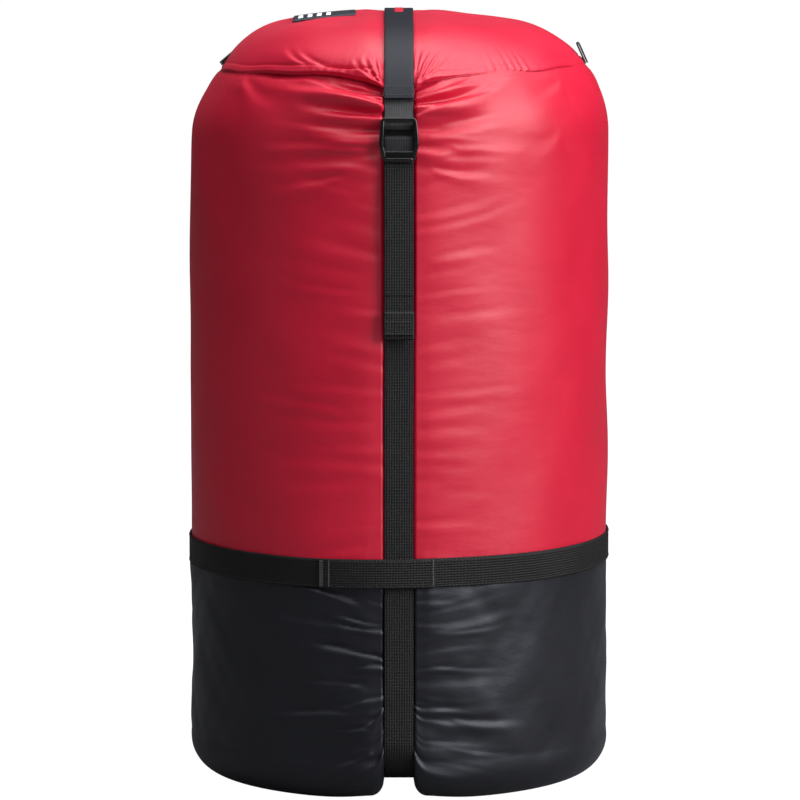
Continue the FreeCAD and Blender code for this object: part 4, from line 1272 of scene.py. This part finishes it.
# ---- floor, light and camera -----------------------------------------------------------------
def studio_floor():
    """Pale floor that curves up into a wall far behind: flat, a quarter circle, then straight up."""
    turn = np.linspace(0, math.pi / 2, 24)
    y = np.concatenate([[-8.0], 16 + 4 * np.sin(turn), [20.0]])
    z = np.concatenate([[0.0], 4 * (1 - np.cos(turn)), [14.0]]) - 0.4 * MM
    x = np.array([-14.0, 14.0])
    points = np.stack([*np.broadcast_arrays(x[None, :], y[:, None], z[:, None])], -1)
    material = bpy.data.materials.new("white_studio_floor")
    material.use_nodes = True
    tree = material.node_tree
    tree.nodes.clear()
    n = partial(add, tree)
    seen = n("ShaderNodeLightPath", out="Is Camera Ray")
    pale = n("ShaderNodeMix", {0: seen, 6: colour("#707070"), 7: colour("#f2f2f2")}, 2, data_type="RGBA")
    matt = n("ShaderNodeBsdfDiffuse", {"Color": pale})
    glow = n("ShaderNodeEmission", {"Color": (1, 1, 1, 1), "Strength": 1.14})
    share = n("ShaderNodeMath", {0: seen, 1: 0.88}, operation="MULTIPLY")
    mixed = n("ShaderNodeMixShader", {0: share, 1: matt, 2: glow})
    shown = tree.nodes.new("ShaderNodeOutputMaterial")
    tree.links.new(mixed, shown.inputs["Surface"])
    return surface("studio_floor", points, material=material)


def soft_light(name, place, aim, size, power):
    """A rectangular area light at a place, turned to shine at a point."""
    lamp = bpy.data.lights.new(name, "AREA")
    lamp.shape = "RECTANGLE"
    lamp.size, lamp.size_y = size
    lamp.energy = power
    thing = bpy.data.objects.new(name, lamp)
    bpy.context.scene.collection.objects.link(thing)
    place, aim = np.array(place), np.array(aim)
    thing.location = place
    thing.rotation_euler = Vector(aim - place).to_track_quat("-Z", "Y").to_euler()
    return thing


MIDDLE = (0, 0, 0.28)
front_fill = soft_light("front_fill_box", (-0.3, -3.4, 1.2), MIDDLE, (1.6, 1.4), 18)
front_fill.visible_glossy = False
back_fill = soft_light("back_fill_box", (-1.0, 3.0, 1.4), MIDDLE, (1.6, 1.4), 26)
back_fill.visible_glossy = False
stage = [
    studio_floor(),
    soft_light("key_box", (1.60, -1.24, 1.12), MIDDLE, (1.35, 1.4), 60),
    soft_light("left_wall_box", (-2.3, -0.7, 0.7), MIDDLE, (0.9, 1.8), 1.2),
    soft_light("top_box", (0.45, -0.15, 2.25), (0, 0, 0.5), (1.5, 2.2), 62),
    soft_light("left_top_box", (-0.9, -1.3, 2.2), MIDDLE, (0.7, 0.7), 12),
    front_fill,
    back_fill,
]

world = bpy.data.worlds.new("studio")
bpy.context.scene.world = world
world.use_nodes = True
tree = world.node_tree
tree.nodes.clear()
n = partial(add, tree)
rays = tree.nodes.new("ShaderNodeLightPath").outputs
mirrored = n("ShaderNodeMath", {0: rays["Is Glossy Ray"], 1: -0.03, 2: 0.09}, operation="MULTIPLY_ADD")
level = n("ShaderNodeMath", {0: rays["Is Camera Ray"], 1: mirrored}, operation="MAXIMUM")
sky = n("ShaderNodeBackground", {"Color": (1, 1, 1, 1), "Strength": level})
shown = tree.nodes.new("ShaderNodeOutputWorld")
tree.links.new(sky, shown.inputs["Surface"])
bpy.context.scene.view_settings.view_transform = "Standard"

CAMERA_DISTANCE = 3.9
CAMERA_HEIGHT = 0.73
CAMERA_DOWN = math.radians(6.762)
CAMERA_ASIDE = 0.8 * MM
lens = bpy.data.cameras.new("camera")
lens.lens = 245
lens.sensor_width = 36
lens.clip_end = 60
camera = bpy.data.objects.new("camera", lens)
bpy.context.scene.collection.objects.link(camera)
camera.location = (CAMERA_ASIDE, -CAMERA_DISTANCE, CAMERA_HEIGHT)
camera.rotation_euler = (math.pi / 2 - CAMERA_DOWN, 0, 0)
bpy.context.scene.camera = camera

bpy.context.view_layer.update()
